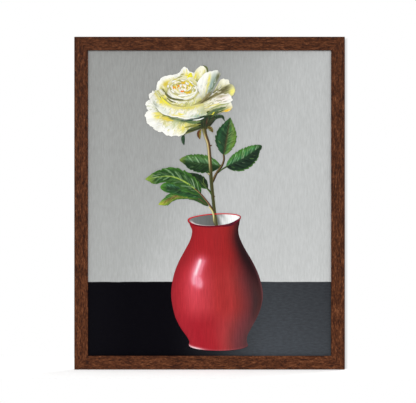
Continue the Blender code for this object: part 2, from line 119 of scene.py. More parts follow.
def make_piece(name, points, quads, material, merge, colours=None, flow=None):
    """An object at the origin from points (n, 3) and quads (m, 4). colours (n, 3) become the paint
    attribute and flow (n, 2) the brush_flow UV map. Points closer than merge are made one."""
    mesh = bpy.data.meshes.new(name)
    mesh.from_pydata(points.reshape(-1, 3).tolist(), [], quads.tolist())
    if colours is not None:
        paint = mesh.attributes.new("paint", "FLOAT_COLOR", "POINT")
        rgba = np.concatenate([colours, np.ones((len(colours), 1))], 1)
        paint.data.foreach_set("color", rgba.astype(np.float32).ravel())
        corner_vertex = np.empty(len(mesh.loops), np.int32)
        mesh.loops.foreach_get("vertex_index", corner_vertex)
        uv = mesh.uv_layers.new(name="brush_flow")
        uv.data.foreach_set("uv", flow[corner_vertex].astype(np.float32).ravel())
    b = bmesh.new()
    b.from_mesh(mesh)
    bmesh.ops.remove_doubles(b, verts=b.verts, dist=merge)
    b.to_mesh(mesh)
    b.free()
    mesh.polygons.foreach_set("use_smooth", [True] * len(mesh.polygons))
    mesh.materials.append(material)
    mesh.update()
    return in_scene(name, mesh)


# ---------------------------------------------------------------- material helpers

class Finish:
    """A node material under construction. Most methods add one node and return its output."""

    def __init__(self, name, roughness=0.5, metallic=0.0, specular=0.5):
        self.material = bpy.data.materials.new(name)
        self.material.use_nodes = True
        self.nodes = self.material.node_tree.nodes
        self.shader = self.nodes["Principled BSDF"]
        self.set_shader({"Roughness": roughness, "Metallic": metallic, "Specular IOR Level": specular})
        self.place = self.node("TexCoord", "Object", {})

    def plug(self, value, socket):
        """Links an output to a socket, or sets the socket to a plain value."""
        if isinstance(value, bpy.types.NodeSocket):
            self.material.node_tree.links.new(value, socket)
        else:
            socket.default_value = value

    def set_shader(self, inputs):
        for name, value in inputs.items():
            self.plug(value, self.shader.inputs[name])

    def node(self, kind, output, inputs, **settings):
        """A node of a kind with its settings and its inputs."""
        node = self.nodes.new("ShaderNode" + kind)
        for name, value in settings.items():
            setattr(node, name, value)
        for name, value in inputs.items():
            self.plug(value, node.inputs[name])
        return node.outputs[output]

    def stretch(self, scale, source=None):
        return self.node("Mapping", "Vector", {"Vector": source or self.place, "Scale": scale})

    def grain(self, axis, along, across):
        """The place scaled by along on the grain axis and by across on the other two."""
        scale = [across] * 3
        scale[axis] = along
        return self.stretch(tuple(scale))

    def noise(self, vector, scale=1.0, detail=3.0, rough=0.55, distort=0.0):
        return self.node("TexNoise", "Fac", {"Vector": vector, "Scale": scale, "Detail": detail,
                                             "Roughness": rough, "Distortion": distort})

    def span(self, value, low, high, to_low=0.0, to_high=1.0, smooth=False):
        return self.node("MapRange", "Result", {"Value": value, "From Min": low, "From Max": high,
                                                "To Min": to_low, "To Max": to_high},
                         interpolation_type="SMOOTHSTEP" if smooth else "LINEAR")

    def spread(self, noise, to_low, to_high):
        """The usual range of a noise carried to another range."""
        return self.span(noise, NOISE_LOW, NOISE_HIGH, to_low, to_high)

    def maths(self, operation, *values):
        node = self.nodes.new("ShaderNodeMath")
        node.operation = operation
        for value, socket in zip(values, node.inputs):
            self.plug(value, socket)
        return node.outputs["Value"]

    def weigh(self, first, first_share, second, second_share):
        """The sum of two values, each times its own share."""
        return self.maths("ADD", self.maths("MULTIPLY", first, first_share),
                          self.maths("MULTIPLY", second, second_share))

    def ramp(self, value, *stops):
        """stops are (position, (red, green, blue)) in screen colours."""
        node = self.nodes.new("ShaderNodeValToRGB")
        self.plug(value, node.inputs["Fac"])
        elements = node.color_ramp.elements
        while len(elements) < len(stops):
            elements.new(0.5)
        for element, (position, colour) in zip(elements, stops):
            element.position = position
            element.color = socket_colour(*colour)
        return node.outputs["Color"]

    def mix(self, share, first, second, blend="MIX"):
        node = self.nodes.new("ShaderNodeMix")
        node.data_type = "RGBA"
        node.blend_type = blend
        colour_inputs = [s for s in node.inputs if s.type == "RGBA"]
        for value, socket in zip((share, first, second), (node.inputs["Factor"], *colour_inputs)):
            self.plug(value, socket)
        return next(s for s in node.outputs if s.type == "RGBA")

    def axes(self):
        node = self.nodes.new("ShaderNodeSeparateXYZ")
        self.plug(self.place, node.inputs["Vector"])
        return tuple(node.outputs)

    def bump(self, height, depth, strength=1.0, under=None):
        inputs = {"Height": height, "Distance": depth, "Strength": strength}
        if under is not None:
            inputs["Normal"] = under
        return self.node("Bump", "Normal", inputs)

    def finish(self, colour, roughness, normal):
        self.set_shader({"Base Color": colour, "Roughness": roughness, "Normal": normal})
        return self.material


def dark_stained_wood(name, axis):
    """Brown stained open-pored wood: soft bands and fibre lines drawn out along the grain axis, with fine
    dark pores, a few larger flecks, and painted shade: a darker line along the rounded outer edge of the
    frame."""
    f = Finish(name, roughness=0.55, specular=0.08)
    bands = f.noise(f.grain(axis, 48, 230), detail=4, rough=0.7, distort=0.12)
    fibre = f.noise(f.grain(axis, 190, 640), detail=4, rough=0.75)
    pores = f.noise(f.grain(axis, 150, 1400), detail=2, rough=0.5)
    flecks = f.noise(f.grain(axis, 170, 330), detail=2, rough=0.4)
    base = f.ramp(f.weigh(bands, 0.45, fibre, 0.55), (0.4, (40, 16, 6)), (0.46, (62, 30, 12)),
                  (0.52, (83, 44, 22)), (0.58, (104, 60, 35)), (0.64, (128, 81, 51)))
    pore = f.span(pores, 0.57, 0.68)
    fleck = f.span(flecks, 0.62, 0.72)
    dark = f.maths("MAXIMUM", f.maths("MULTIPLY", pore, 0.5), f.maths("MULTIPLY", fleck, 0.8))
    colour = f.mix(dark, base, socket_colour(46, 20, 12))
    x, _, z = f.axes()
    out_x = f.maths("SUBTRACT", f.maths("ABSOLUTE", f.maths("SUBTRACT", x, MIDDLE_X)), HALF_WIDTH)
    out_z = f.maths("SUBTRACT", f.maths("ABSOLUTE", f.maths("SUBTRACT", z, MIDDLE_Z)), HALF_HEIGHT)
    # painted shade: the wood is darkened 0.6 to 1.6 mm in from the outer edge, standing in for the shade on
    # the rounded arris
    arris_shade = f.span(f.maths("MAXIMUM", out_x, out_z), -1.6 * MM, -0.6 * MM, 0, 0.5)
    colour = f.mix(arris_shade, colour, socket_colour(58, 24, 12))
    height = f.maths("SUBTRACT", f.maths("MULTIPLY", fibre, 0.5), f.maths("MAXIMUM", pore, fleck))
    return f.finish(colour, f.spread(fibre, 0.46, 0.64), f.bump(height, 0.0003, 0.6))


def pale_bar_wood(name, axis):
    """Raw pine: wide yearly rings as soft stripes along the grain, with fine fibre and a faint blush."""
    f = Finish(name, roughness=0.68)
    rings = f.noise(f.grain(axis, 2.2, 85), detail=2, distort=0.7)
    fibre = f.noise(f.grain(axis, 30, 900), detail=4)
    blush = f.noise(f.grain(axis, 6, 14), detail=2)
    tone = f.weigh(rings, 0.7, fibre, 0.3)
    base = f.ramp(tone, (0.36, (196, 156, 106)), (0.5, (219, 187, 140)), (0.64, (232, 207, 166)))
    colour = f.mix(f.span(blush, 0.45, 0.75, 0, 0.35), base, socket_colour(206, 160, 112))
    return f.finish(colour, f.spread(fibre, 0.58, 0.76), f.bump(tone, 0.0003, 0.5))


def bright_metal(name, light, dark, roughness):
    """Thin plated metal: a cloudy sheen with fine drawn scratches."""
    f = Finish(name, roughness=roughness, metallic=1.0)
    cloud = f.noise(f.place, scale=260, detail=3)
    scratch = f.noise(f.stretch((400, 3600, 400)), detail=2)
    tone = f.weigh(cloud, 0.7, scratch, 0.3)
    colour = f.ramp(tone, (0.35, dark), (0.65, light))
    return f.finish(colour, f.spread(tone, roughness - 0.1, roughness + 0.12), f.bump(scratch, 0.00004, 0.4))


def soft_rubber(name):
    """Dark matt bumper rubber with a dusty bloom."""
    f = Finish(name, roughness=0.8)
    dust = f.noise(f.place, scale=900, detail=4)
    colour = f.ramp(dust, (0.35, (34, 33, 32)), (0.7, (66, 64, 62)))
    return f.finish(colour, f.spread(dust, 0.68, 0.9), f.bump(dust, 0.0001, 0.4))


def weave_height(f, pitch=0.6 * MM):
    """Plain weave: the product of two waves at right angles, so threads pass over and under in turn."""
    x, y, z = f.axes()
    turn = 2 * math.pi / pitch
    warp = f.maths("SINE", f.maths("MULTIPLY", f.maths("ADD", x, y), turn))
    weft = f.maths("SINE", f.maths("MULTIPLY", z, turn))
    return f.maths("MULTIPLY_ADD", f.maths("MULTIPLY", warp, weft), 0.5, 0.5)


def painted_ground(name):
    """The wall and table painted on the front of the canvas. The wall goes from grey at the top left to a
    paler grey at the right and the foot, with fine upright brush marks; below the table line it is nearly
    black at the left and slate at the right, brushed across."""
    f = Finish(name, roughness=0.6, specular=0.02)
    x, _, z = f.axes()
    seen_left, seen_right = MIDDLE_X - SEEN_HALF_WIDTH, MIDDLE_X + SEEN_HALF_WIDTH
    across = f.span(x, seen_left, seen_right)
    down = f.span(z, MIDDLE_Z + SEEN_HALF_HEIGHT, TABLE_LINE)
    start = f.maths("MULTIPLY_ADD", down, -0.30, 0.36)
    width = f.maths("MULTIPLY_ADD", down, -0.30, 0.66)
    rise = f.span(f.maths("DIVIDE", f.maths("SUBTRACT", across, start), width), 0, 1, smooth=True)
    left = f.maths("MULTIPLY_ADD", down, 18.0, 150.5)
    right = f.maths("MULTIPLY_ADD", down, 3.0, 185.5)
    tone = f.maths("ADD", left, f.maths("MULTIPLY", rise, f.maths("SUBTRACT", right, left)))
    upright_marks = f.noise(f.stretch((620, 620, 85)), detail=3, rough=0.6)
    soft_marks = f.noise(f.stretch((46, 46, 12)), detail=2)
    tone = f.maths("ADD", tone, f.spread(upright_marks, -6.5, 6.5))
    tone = f.maths("ADD", tone, f.spread(soft_marks, -1.2, 1.2))
    wall = f.ramp(f.span(tone, 130, 215), (0.0, (130, 130, 128)), (0.21, (148, 149, 147)),
                  (0.5, (171, 173, 172)), (1.0, (214, 216, 216)))

    slate = f.span(x, MIDDLE_X - 75 * MM, MIDDLE_X + 100 * MM, smooth=True)
    low = f.span(z, TABLE_LINE, MIDDLE_Z - SEEN_HALF_HEIGHT)
    far = f.span(x, MIDDLE_X + 120 * MM, seen_right, 0, 7)
    black = f.span(x, seen_left, MIDDLE_X - 130 * MM, 9.0, 4.5)
    grey = f.maths("SUBTRACT", f.maths("MULTIPLY_ADD", low, 13.0, 57.0), far)
    level = f.maths("ADD", black, f.maths("MULTIPLY", slate, f.maths("SUBTRACT", grey, black)))
    level_marks = f.noise(f.stretch((120, 120, 420)), detail=3, rough=0.6)
    sway = f.maths("MULTIPLY_ADD", slate, 5.0, 1.2)
    level = f.maths("MULTIPLY_ADD", f.spread(level_marks, -1, 1), sway, level)
    table = f.ramp(f.span(level, 0, 100), (0.0, (2, 1, 5)), (0.1, (11, 10, 15)), (0.35, (34, 34, 38)),
                   (0.6, (57, 60, 64)), (0.8, (72, 77, 83)), (1.0, (96, 100, 106)))
    blur = 0.4 * MM
    line = f.maths("ADD", z, f.spread(f.noise(f.stretch((30, 30, 30)), detail=2), -blur, blur))
    share = f.span(line, TABLE_LINE - blur, TABLE_LINE + blur)
    marks = f.mix(share, level_marks, upright_marks)
    normal = f.bump(marks, 0.00012, 0.5, f.bump(weave_height(f), 0.00006, 0.5))
    return f.finish(f.mix(share, table, wall), f.spread(upright_marks, 0.5, 0.66), normal)


def primed_cloth(name):
    """White primer brushed on canvas: the weave shows through, with faint yellowing."""
    f = Finish(name, roughness=0.75, specular=0.2)
    stain = f.noise(f.place, scale=40, detail=4)
    colour = f.ramp(stain, (0.35, (226, 223, 213)), (0.65, (243, 242, 237)))
    return f.finish(colour, f.spread(stain, 0.66, 0.84), f.bump(weave_height(f), 0.00012, 0.6))


def raw_cloth(name):
    """Raw cotton canvas: beige threads with darker flecks in the yarn and the plain weave in relief."""
    f = Finish(name, roughness=0.9, specular=0.1)
    fleck = f.noise(f.stretch((500, 500, 60)), detail=3)
    cross_fleck = f.noise(f.stretch((60, 60, 500)), detail=3)
    weave = weave_height(f)
    tone = f.maths("MULTIPLY_ADD", weave, 0.2, f.weigh(fleck, 0.4, cross_fleck, 0.4))
    colour = f.ramp(tone, (0.38, (178, 160, 128)), (0.5, (207, 192, 162)), (0.62, (226, 215, 190)))
    return f.finish(colour, f.spread(tone, 0.84, 0.95), f.bump(weave, 0.00018, 0.7))


def oil_paint(name, marks, contrast, roughness, ridge=0.00012):
    """Oil paint: the colour comes from the paint attribute, lightened and darkened by long brush marks
    that follow the brush_flow map, with the marks and the canvas weave in low relief."""
    f = Finish(name, roughness=roughness, specular=0.05)
    colour = f.node("Attribute", "Color", {}, attribute_name="paint")
    flow = f.node("UVMap", "UV", {}, uv_map="brush_flow")
    mark = f.noise(f.stretch((*marks, 1), flow), detail=4, rough=0.6)
    worked = f.mix(1.0, colour, f.spread(mark, 1 - contrast, 1 + contrast), "MULTIPLY")
    normal = f.bump(mark, ridge, 0.6, f.bump(weave_height(f), 0.00004, 0.4))
    return f.finish(worked, f.spread(mark, roughness - 0.08, roughness + 0.1), normal)


# ---------------------------------------------------------------- finishes

RAIL_ACROSS = dark_stained_wood("stained wood, grain across", 0)
RAIL_UPRIGHT = dark_stained_wood("stained wood, grain upright", 2)
BAR_ACROSS = pale_bar_wood("bar pine, grain across", 0)
BAR_UPRIGHT = pale_bar_wood("bar pine, grain upright", 2)
ZINC_STEEL = bright_metal("zinc plated steel", (214, 216, 218), (150, 154, 160), 0.34)
BRASS_PLATE = bright_metal("brass plate", (224, 184, 98), (176, 132, 60), 0.32)
BUMPER_RUBBER = soft_rubber("bumper rubber")
PAINTED_GROUND = painted_ground("painted wall and table")
PRIMED_CLOTH = primed_cloth("primed canvas edge")
RAW_CLOTH = raw_cloth("raw canvas back")
VASE_PAINT = oil_paint("red glaze paint", (5.0, 0.4), 0.14, 0.42)
LEAF_PAINT = oil_paint("leaf green paint", (7, 1.1), 0.34, 0.5)
STEM_PAINT = oil_paint("stem paint", (16, 1.2), 0.2, 0.5)
PETAL_PAINT = oil_paint("petal cream paint", (12, 1.0), 0.06, 0.48, ridge=0.0002)

FINISH_OF = (
    ("frame_rail_top", RAIL_ACROSS), ("frame_rail_bottom", RAIL_ACROSS), ("frame_rail_", RAIL_UPRIGHT),
    ("stretcher_bar_top", BAR_ACROSS), ("stretcher_bar_bottom", BAR_ACROSS),
    ("stretcher_", BAR_UPRIGHT), ("corner_nail_", ZINC_STEEL), ("clip_", ZINC_STEEL),
    ("sawtooth_hanger", BRASS_PLATE), ("hanger_nail_", BRASS_PLATE), ("bumper_", BUMPER_RUBBER),
)
for node_name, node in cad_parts.items():
    for start, finish in FINISH_OF:
        if node_name.startswith(start):
            for place in node.material_slots:
                place.material = finish
            break


# ---------------------------------------------------------------- the wrapped canvas

def oblong_walk(side_steps=40, corner_steps=7):
    """Unit parts of a round-cornered oblong, walked round once: quarter circles at the corners joined by
    straight sides. A point is (square_x * (half_width - radius) + round_x * radius, the same for z)."""
    squares, rounds = [], []
    share = np.linspace(0, 1, side_steps + 2)[1:-1, None]
    for k in range(4):
        here, after = (np.array([np.sign(math.cos(a)), np.sign(math.sin(a))])
                       for a in (math.pi / 2 * (k + 0.5), math.pi / 2 * (k + 1.5)))
        squares += [np.tile(here, (corner_steps, 1)), (1 - share) * here + share * after]
        turn = math.pi / 2 * (k + np.linspace(0, 1, corner_steps))
        arc = np.stack([np.cos(turn), np.sin(turn)], 1)
        rounds += [arc, np.tile(arc[-1], (side_steps, 1))]
    return np.concatenate(squares), np.concatenate(rounds)


def wrapped_canvas():
    """A closed sheet: rings of one round-cornered oblong, each with its own inset from the canvas edge and
    its own depth. The rings run from the middle of the front, round the soft edge, down the sides, in
    behind the bars, round the cut edge, and back up the inside to the middle of the sheet's back."""
    square, round_ = oblong_walk()
    count = len(square)
    front, rear = CANVAS_FRONT, CANVAS_BACK
    bend = 1.2 * MM
    quarter = math.pi / 2 * np.linspace(0, 1, 5)
    share_out = np.linspace(0, 1, 14)[:-1]

    def front_bend(inset, radius):
        return [(inset + radius * (1 - math.sin(q)), 1, front + inset + radius * (1 - math.cos(q)))
                for q in quarter]

    def rear_bend(inset, radius):
        return [(inset + radius * (1 - math.cos(q)), 1, rear - inset - radius * (1 - math.sin(q)))
                for q in quarter]

    side = [(0.0, 1, front + bend + (rear - front - 2 * bend) * s) for s in np.linspace(0, 1, 6)[1:-1]]
    flap = [(bend + (TURN_OVER - bend) * s, 1, rear) for s in np.linspace(0, 1, 8)[1:]]
    outside = [(None, s, front) for s in share_out] + front_bend(0, bend) + side + rear_bend(0, bend) + flap
    inside = [(None, s, front + CLOTH) for s in share_out] + front_bend(CLOTH, bend - CLOTH)
    inside += [(CLOTH, 1, y) for _, _, y in side] + rear_bend(CLOTH, bend - CLOTH)
    inside += [(inset, 1, rear - CLOTH) for inset, _, _ in flap]
    rings = outside + inside[::-1]

    walk = np.arange(count) / count * 2 * math.pi
    cut_edge = 0.7 * MM * (np.sin(23 * walk) + 0.6 * np.sin(61 * walk + 1))
    points = np.empty((len(rings), count, 3))
    half = np.array([CANVAS_HALF_WIDTH, CANVAS_HALF_HEIGHT])
    for k, (inset, share, y) in enumerate(rings):
        if inset is None:
            ring_half, radius = half - bend, 0.6 * MM
        else:
            ring_half, radius = half - inset, max(1.8 * MM - inset, 0.6 * MM)
            if inset > 0.6 * TURN_OVER:
                ring_half = ring_half - ((inset / TURN_OVER) ** 4 * cut_edge)[:, None]
        flat = (square * (ring_half - radius) + round_ * radius) * share
        points[k] = np.stack([MIDDLE_X + flat[:, 0], np.full(count, y), MIDDLE_Z + flat[:, 1]], 1)
    piece = make_piece("canvas_cloth", points, grid_quads(len(rings), count, closed=True), PAINTED_GROUND,
                       0.01 * MM)
    for finish in (PRIMED_CLOTH, RAW_CLOTH):
        piece.data.materials.append(finish)
    faces = piece.data.polygons
    centre, normal = np.empty(len(faces) * 3), np.empty(len(faces) * 3)
    faces.foreach_get("center", centre)
    faces.foreach_get("normal", normal)
    x, y, z = centre.reshape(-1, 3).T
    outer_side = np.maximum(np.abs(x - MIDDLE_X) - half[0], np.abs(z - MIDDLE_Z) - half[1]) > -0.5 * CLOTH
    slots = np.full(len(x), 2, np.int32)
    slots[outer_side | (y > rear - 0.4 * CLOTH)] = 1
    slots[(y < front + 0.5 * CLOTH) & (normal[1::3] < -0.3)] = 0
    faces.foreach_set("material_index", slots)
    piece.data.update()
    return piece


canvas_cloth = wrapped_canvas()
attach(canvas_cloth, "root")
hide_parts("canvas")


# ---------------------------------------------------------------- the painted still life: helpers

# The picture is laid out in millimetres across and up from its middle, and lift is how far the paint
# stands in front of the canvas. Strokes are scattered by one number generator with a fixed seed.

DICE = np.random.default_rng(29)
LEAST_LIFT = 0.02
MERGE = 0.0005 * MM


def in_picture(across, up, lift):
    """Metres from picture millimetres: across along X, up along Z, lift towards the viewer."""
    across, up, lift = np.broadcast_arrays(across, up, lift)
    return np.stack([MIDDLE_X + across * MM, CANVAS_FRONT - lift * MM, MIDDLE_Z + up * MM], -1)


def at_the_back(across, up, height):
    """Points in metres from millimetres across and up, height standing off the turned-over cloth."""
    return np.stack([MIDDLE_X + across * MM, CANVAS_BACK + height * MM, MIDDLE_Z + up * MM], -1)


def through(knots, values, at):
    """A smooth line through knots: cubic pieces whose slope at a knot is the slope between its
    neighbours (Hermite form)."""
    knots, values = np.asarray(knots, float), np.asarray(values, float)
    slope = np.gradient(values, knots, axis=0)
    at = np.clip(at, knots[0], knots[-1])
    k = np.clip(np.searchsorted(knots, at, side="right") - 1, 0, len(knots) - 2)
    step = knots[k + 1] - knots[k]
    t = (at - knots[k]) / step
    if values.ndim > 1:
        step, t = step[..., None], t[..., None]
    start = (2 * t**3 - 3 * t**2 + 1) * values[k] + (t**3 - 2 * t**2 + t) * step * slope[k]
    return start + (3 * t**2 - 2 * t**3) * values[k + 1] + (t**3 - t**2) * step * slope[k + 1]


def drawn_line(points, count):
    """count points along the smooth line through points, spaced by the length of its chords."""
    points = np.asarray(points, float)
    run = np.concatenate([[0], np.cumsum(np.linalg.norm(np.diff(points, axis=0), axis=1))])
    return through(run / run[-1], points, np.linspace(0, 1, count))


def headings(path):
    """The unit direction of a path at each of its points."""
    heading = np.gradient(path, axis=0)
    return heading / np.linalg.norm(heading, axis=1, keepdims=True)


def path_length(path):
    return np.sum(np.linalg.norm(np.diff(path, axis=0), axis=1))


def shades(value, *stops):
    """Screen colours read off a scale of (position, colour) stops, with straight blends between them."""
    where = [s[0] for s in stops]
    return np.stack([np.interp(value, where, [s[1][c] for s in stops]) for c in range(3)], -1)


def towards(colours, colour, share):
    """Blends colours towards one colour by share, 0 to 1, at each point."""
    share = np.clip(np.asarray(share)[..., None], 0, 1)
    return colours * (1 - share) + np.asarray(colour, float) * share


def blot(u, v, at, size):
    """A soft round patch: e to the minus squared distance, each direction over its own size."""
    return np.exp(-(((u - at[0]) / size[0]) ** 2) - ((v - at[1]) / size[1]) ** 2)


def nearness(across, up, line, width):
    """How near each point lies to a drawn line: e to the minus squared distance over width squared."""
    nearest = np.full(np.broadcast(across, up).shape, 1e9)
    for x, z in drawn_line(line, 40):
        nearest = np.minimum(nearest, (across - x) ** 2 + (up - z) ** 2)
    return np.exp(-nearest / width**2)


def uneven(along, seed, waves):
    """A torn wavy edge: four sines whose rates don't share a period, each weaker than the one before."""
    rates = waves * np.array([1.0, 1.9, 3.1, 5.3])
    heights = np.array([1.0, 0.6, 0.4, 0.25])
    phases = seed * np.array([1.0, 2.3, 3.7, 5.1])
    return np.sum(heights * np.sin(2 * math.pi * rates * along[..., None] + phases), -1)


class Daubs:
    """Closed sheets and rods of paint gathered into one piece."""

    def __init__(self):
        self.points, self.quads, self.colours, self.flow, self.count = [], [], [], [], 0

    def add(self, points, quads, colours, flow=(0, 0)):
        """Takes in one closed surface, turned so that its faces look outwards: its volume, the sum of the
        corners' triple products, must be positive. One colour or one flow serves for all points."""
        points = points.reshape(-1, 3)
        a, b, c, d = (points[quads[:, k]] - points[0] for k in range(4))
        if np.sum(a * np.cross(b, c)) + np.sum(a * np.cross(c, d)) < 0:
            quads = quads[:, ::-1]
        self.points.append(points)
        self.quads.append(quads + self.count)
        for values, parts, width in ((colours, self.colours, 3), (flow, self.flow, 2)):
            values = np.asarray(values, float).reshape(-1, width)
            parts.append(np.broadcast_to(values, (len(points), width)))
        self.count += len(points)

    def sheet(self, across, up, lift, colours, flow, thickness):
        """A thin closed sheet: the grid seen from the front, the same grid set back by the thickness, and a
        strip that joins their borders."""
        a, b = np.gradient(across), np.gradient(up)
        if np.sum(a[1] * b[0] - a[0] * b[1]) < 0:
            across, up, lift, colours, flow = (v[:, ::-1] for v in (across, up, lift, colours, flow))
        back = np.maximum(lift - thickness, LEAST_LIFT)
        points = np.stack([in_picture(across, up, lift), in_picture(across, up, back)])
        self.add(points, slab_quads(*across.shape), np.stack([colours] * 2), np.stack([flow] * 2))

    def rod(self, line, half_width, lift, tones, rise, count=60, round_steps=9):
        """A raised brush line: a half round whose half width follows half_width(run), carried along the
        line, flat at the back, closed to a point at each end. tones(side, run) gives the colour at side -1
        to 1."""
        path = drawn_line(line, count)
        heading = headings(path)
        run = np.linspace(0, 1, count)
        width = half_width(run)[:, None]
        turn = np.linspace(0, math.pi, round_steps)
        side = np.concatenate([np.cos(turn), np.linspace(-1, 1, round_steps)[1:-1]])
        height = np.concatenate([np.sin(turn), np.full(round_steps - 2, -0.25)])
        grids = (path[:, :1] + heading[:, 1:] * side * width, path[:, 1:] - heading[:, :1] * side * width,
                 lift + rise * height * (width / width.max()))
        first, last = ([np.full((1, len(side)), v) for v in (*path[k], lift)] for k in (0, -1))
        across, up, raised = (np.concatenate(parts) for parts in zip(first, grids, last))
        sides, runs = np.meshgrid(side, np.concatenate([[0], run, [1]]))
        flow = np.stack([sides * width.max() / 10, runs * path_length(path) / 10], -1)
        quads = grid_quads(*sides.shape, closed=True)
        self.add(in_picture(across, up, raised), quads, tones(sides, runs), flow)

    def dab(self, line, tone, wide, lift, least, edge_dark, rise):
        """One short raised stroke of the brush, widest in its middle and darker along one edge."""
        self.rod(line, lambda run: wide * (least + np.sin(math.pi * np.clip(run, 0.02, 0.98)) ** 0.7), lift,
                 lambda side, run: np.asarray(tone) * (1 - edge_dark * (side > 0.3))[..., None], rise, 7, 5)

    def touch(self, place, raised, colours, marks, tones, thick):
        """A dab through grid places given as row and column, its colour halfway between what lies under it
        and one of the tones. Its height differs by a hair from that of its neighbours, so no two strokes
        share a point."""
        line = [place[r, c] for r, c in marks]
        if np.linalg.norm(line[-1] - line[0]) < 0.8:
            return
        under = np.mean([colours[r, c] for r, c in marks], 0)
        tone = np.array(tones[int(DICE.integers(len(tones)))], float)
        wide = DICE.uniform(*thick)
        sunk, hair = 0.05, 0.0015 * (len(self.points) % 23)
        top = max(raised[r, c] for r, c in marks) - sunk + hair
        self.dab(line, np.clip(0.5 * under + 0.5 * tone, 0, 255), wide, top, 0.35, 0.06, 0.16)

    def piece(self, name, finish, slot="painted_canvas"):
        colours = np.clip(np.concatenate(self.colours), 0, 255)
        made = make_piece(name, np.concatenate(self.points), np.concatenate(self.quads), finish, MERGE,
                          linear(colours), np.concatenate(self.flow))
        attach(made, "root")


def taper(start, change):
    """A half width that goes evenly from start to start plus change."""
    return lambda run: start + change * run


def lens(thin, wide):
    """A half width that is thin at both ends and thin plus wide in the middle."""
    return lambda run: thin + wide * np.sin(math.pi * np.clip(run, 0, 1))


# ---------------------------------------------------------------- the red vase

# The outline from the foot up: level, half width and middle, in picture millimetres. Seen from above the
# front, the foot and the mouth are ellipses whose front dips TIP times the half width and whose back, at the
# mouth, rises BACK times it; the mouth leans up to the right.
VASE_UP, VASE_HALF, VASE_MIDDLE = np.array([
    (-228.5, 47.6, 14.4), (-221.5, 46.3, 13.6), (-215, 48.2, 12.2), (-200.6, 56.4, 10.4),
    (-184, 65.2, 10.7), (-166, 71.2, 11.8), (-149, 73.7, 12.1), (-126.6, 71.2, 11.3), (-110, 66.4, 10.5),
    (-93.8, 59.2, 9.8), (-74.2, 48.2, 9.3), (-61, 41.4, 9.4), (-50, 37.8, 9.2), (-42, 37.4, 9.0),
    (-33, 39.9, 8.2), (-24.9, 42.0, 7.9),
]).T
FOOT_UP, NECK_UP, MOUTH_UP = VASE_UP[0], -58.0, VASE_UP[-1]
FOOT_TIP, MOUTH_TIP, MOUTH_BACK, MOUTH_LEAN = 0.19, 0.30, 0.175, 0.058

# Window lights on the glaze: a drawn line, its width, its colour, its share, and how much streaks cut it.
GLAZE_LIGHTS = (
    ([(-13, -93), (-19, -110), (-20, -126)], 9.0, (226, 104, 124), 0.85, 0),
    ([(-17, -97), (-22, -110), (-22, -124), (-18, -131)], 6.0, (244, 158, 178), 0.75, 0),
    ([(-15.0, -92.5), (-19, -104), (-22.5, -114)], 2.6, (255, 240, 245), 0.95, 0.2),
    ([(-23.5, -115), (-26.5, -123), (-25.5, -129)], 3.0, (246, 188, 202), 0.75, 1),
    ([(-8.5, -93), (-12.5, -104), (-15.5, -114)], 2.2, (240, 160, 178), 0.6, 1),
    ([(-16.5, -121), (-14, -128), (-14.5, -134)], 2.8, (246, 176, 192), 0.75, 1),
)


def vase_colours(side, up, across):
    """Red glaze. Across the vase it goes from deep red through a lit left to a brown-black right, on three
    scales for neck, belly and lower body, with a soft pink glow and a curved window light at the left."""
    neck = shades(side, (-1, (146, 28, 35)), (-0.8, (160, 30, 37)), (-0.4, (167, 34, 40)),
                  (0.08, (160, 36, 40)), (0.3, (159, 35, 37)), (0.5, (150, 34, 35)), (0.7, (120, 32, 33)),
                  (0.88, (76, 28, 30)), (1, (54, 24, 26)))
    belly = shades(side, (-1, (150, 33, 43)), (-0.9, (164, 35, 45)), (-0.74, (177, 42, 52)),
                   (-0.5, (186, 54, 62)), (-0.2, (181, 55, 62)), (0, (171, 48, 50)), (0.16, (163, 45, 46)),
                   (0.31, (166, 50, 50)), (0.46, (140, 47, 46)), (0.62, (115, 46, 48)),
                   (0.77, (88, 43, 45)), (0.92, (72, 42, 41)), (1, (66, 38, 38)))
    low = shades(side, (-1, (148, 29, 41)), (-0.86, (163, 33, 45)), (-0.5, (161, 28, 41)),
                 (-0.1, (161, 34, 43)), (0.2, (164, 53, 56)), (0.41, (134, 52, 53)), (0.62, (112, 52, 56)),
                 (0.83, (95, 52, 55)), (1, (80, 52, 54)))
    into_belly = np.clip((-82 - up) / 42, 0, 1)[..., None]
    into_low = np.clip((-168 - up) / 26, 0, 1)[..., None]
    colours = neck * (1 - into_belly) + belly * into_belly
    colours = colours * (1 - into_low) + low * into_low
    colours = towards(colours, (36, 8, 14), 0.68 * blot(side, up, (1.0, -98), (0.25, 36)))
    colours = towards(colours, (214, 76, 90), 0.85 * blot(across, up, (-24, -134), (15, 36)))
    streaks = 0.75 + 0.25 * np.sin(1.9 * across + 0.35 * up) * np.sin(0.31 * up + 1.3 * across)
    for line, width, tone, share, worn in GLAZE_LIGHTS:
        light = share * nearness(across, up, line, width) * (1 - worn + worn * streaks)
        colours = towards(colours, tone, light)
    colours = colours * (0.965, 0.93, 0.93)
    colours = towards(colours, (26, 10, 14), 0.72 * blot(side, up, (0.95, -82), (0.11, 36)))
    return towards(colours, (46, 36, 38), 0.55 * blot(side, up, (0.84, -160), (0.07, 26)))


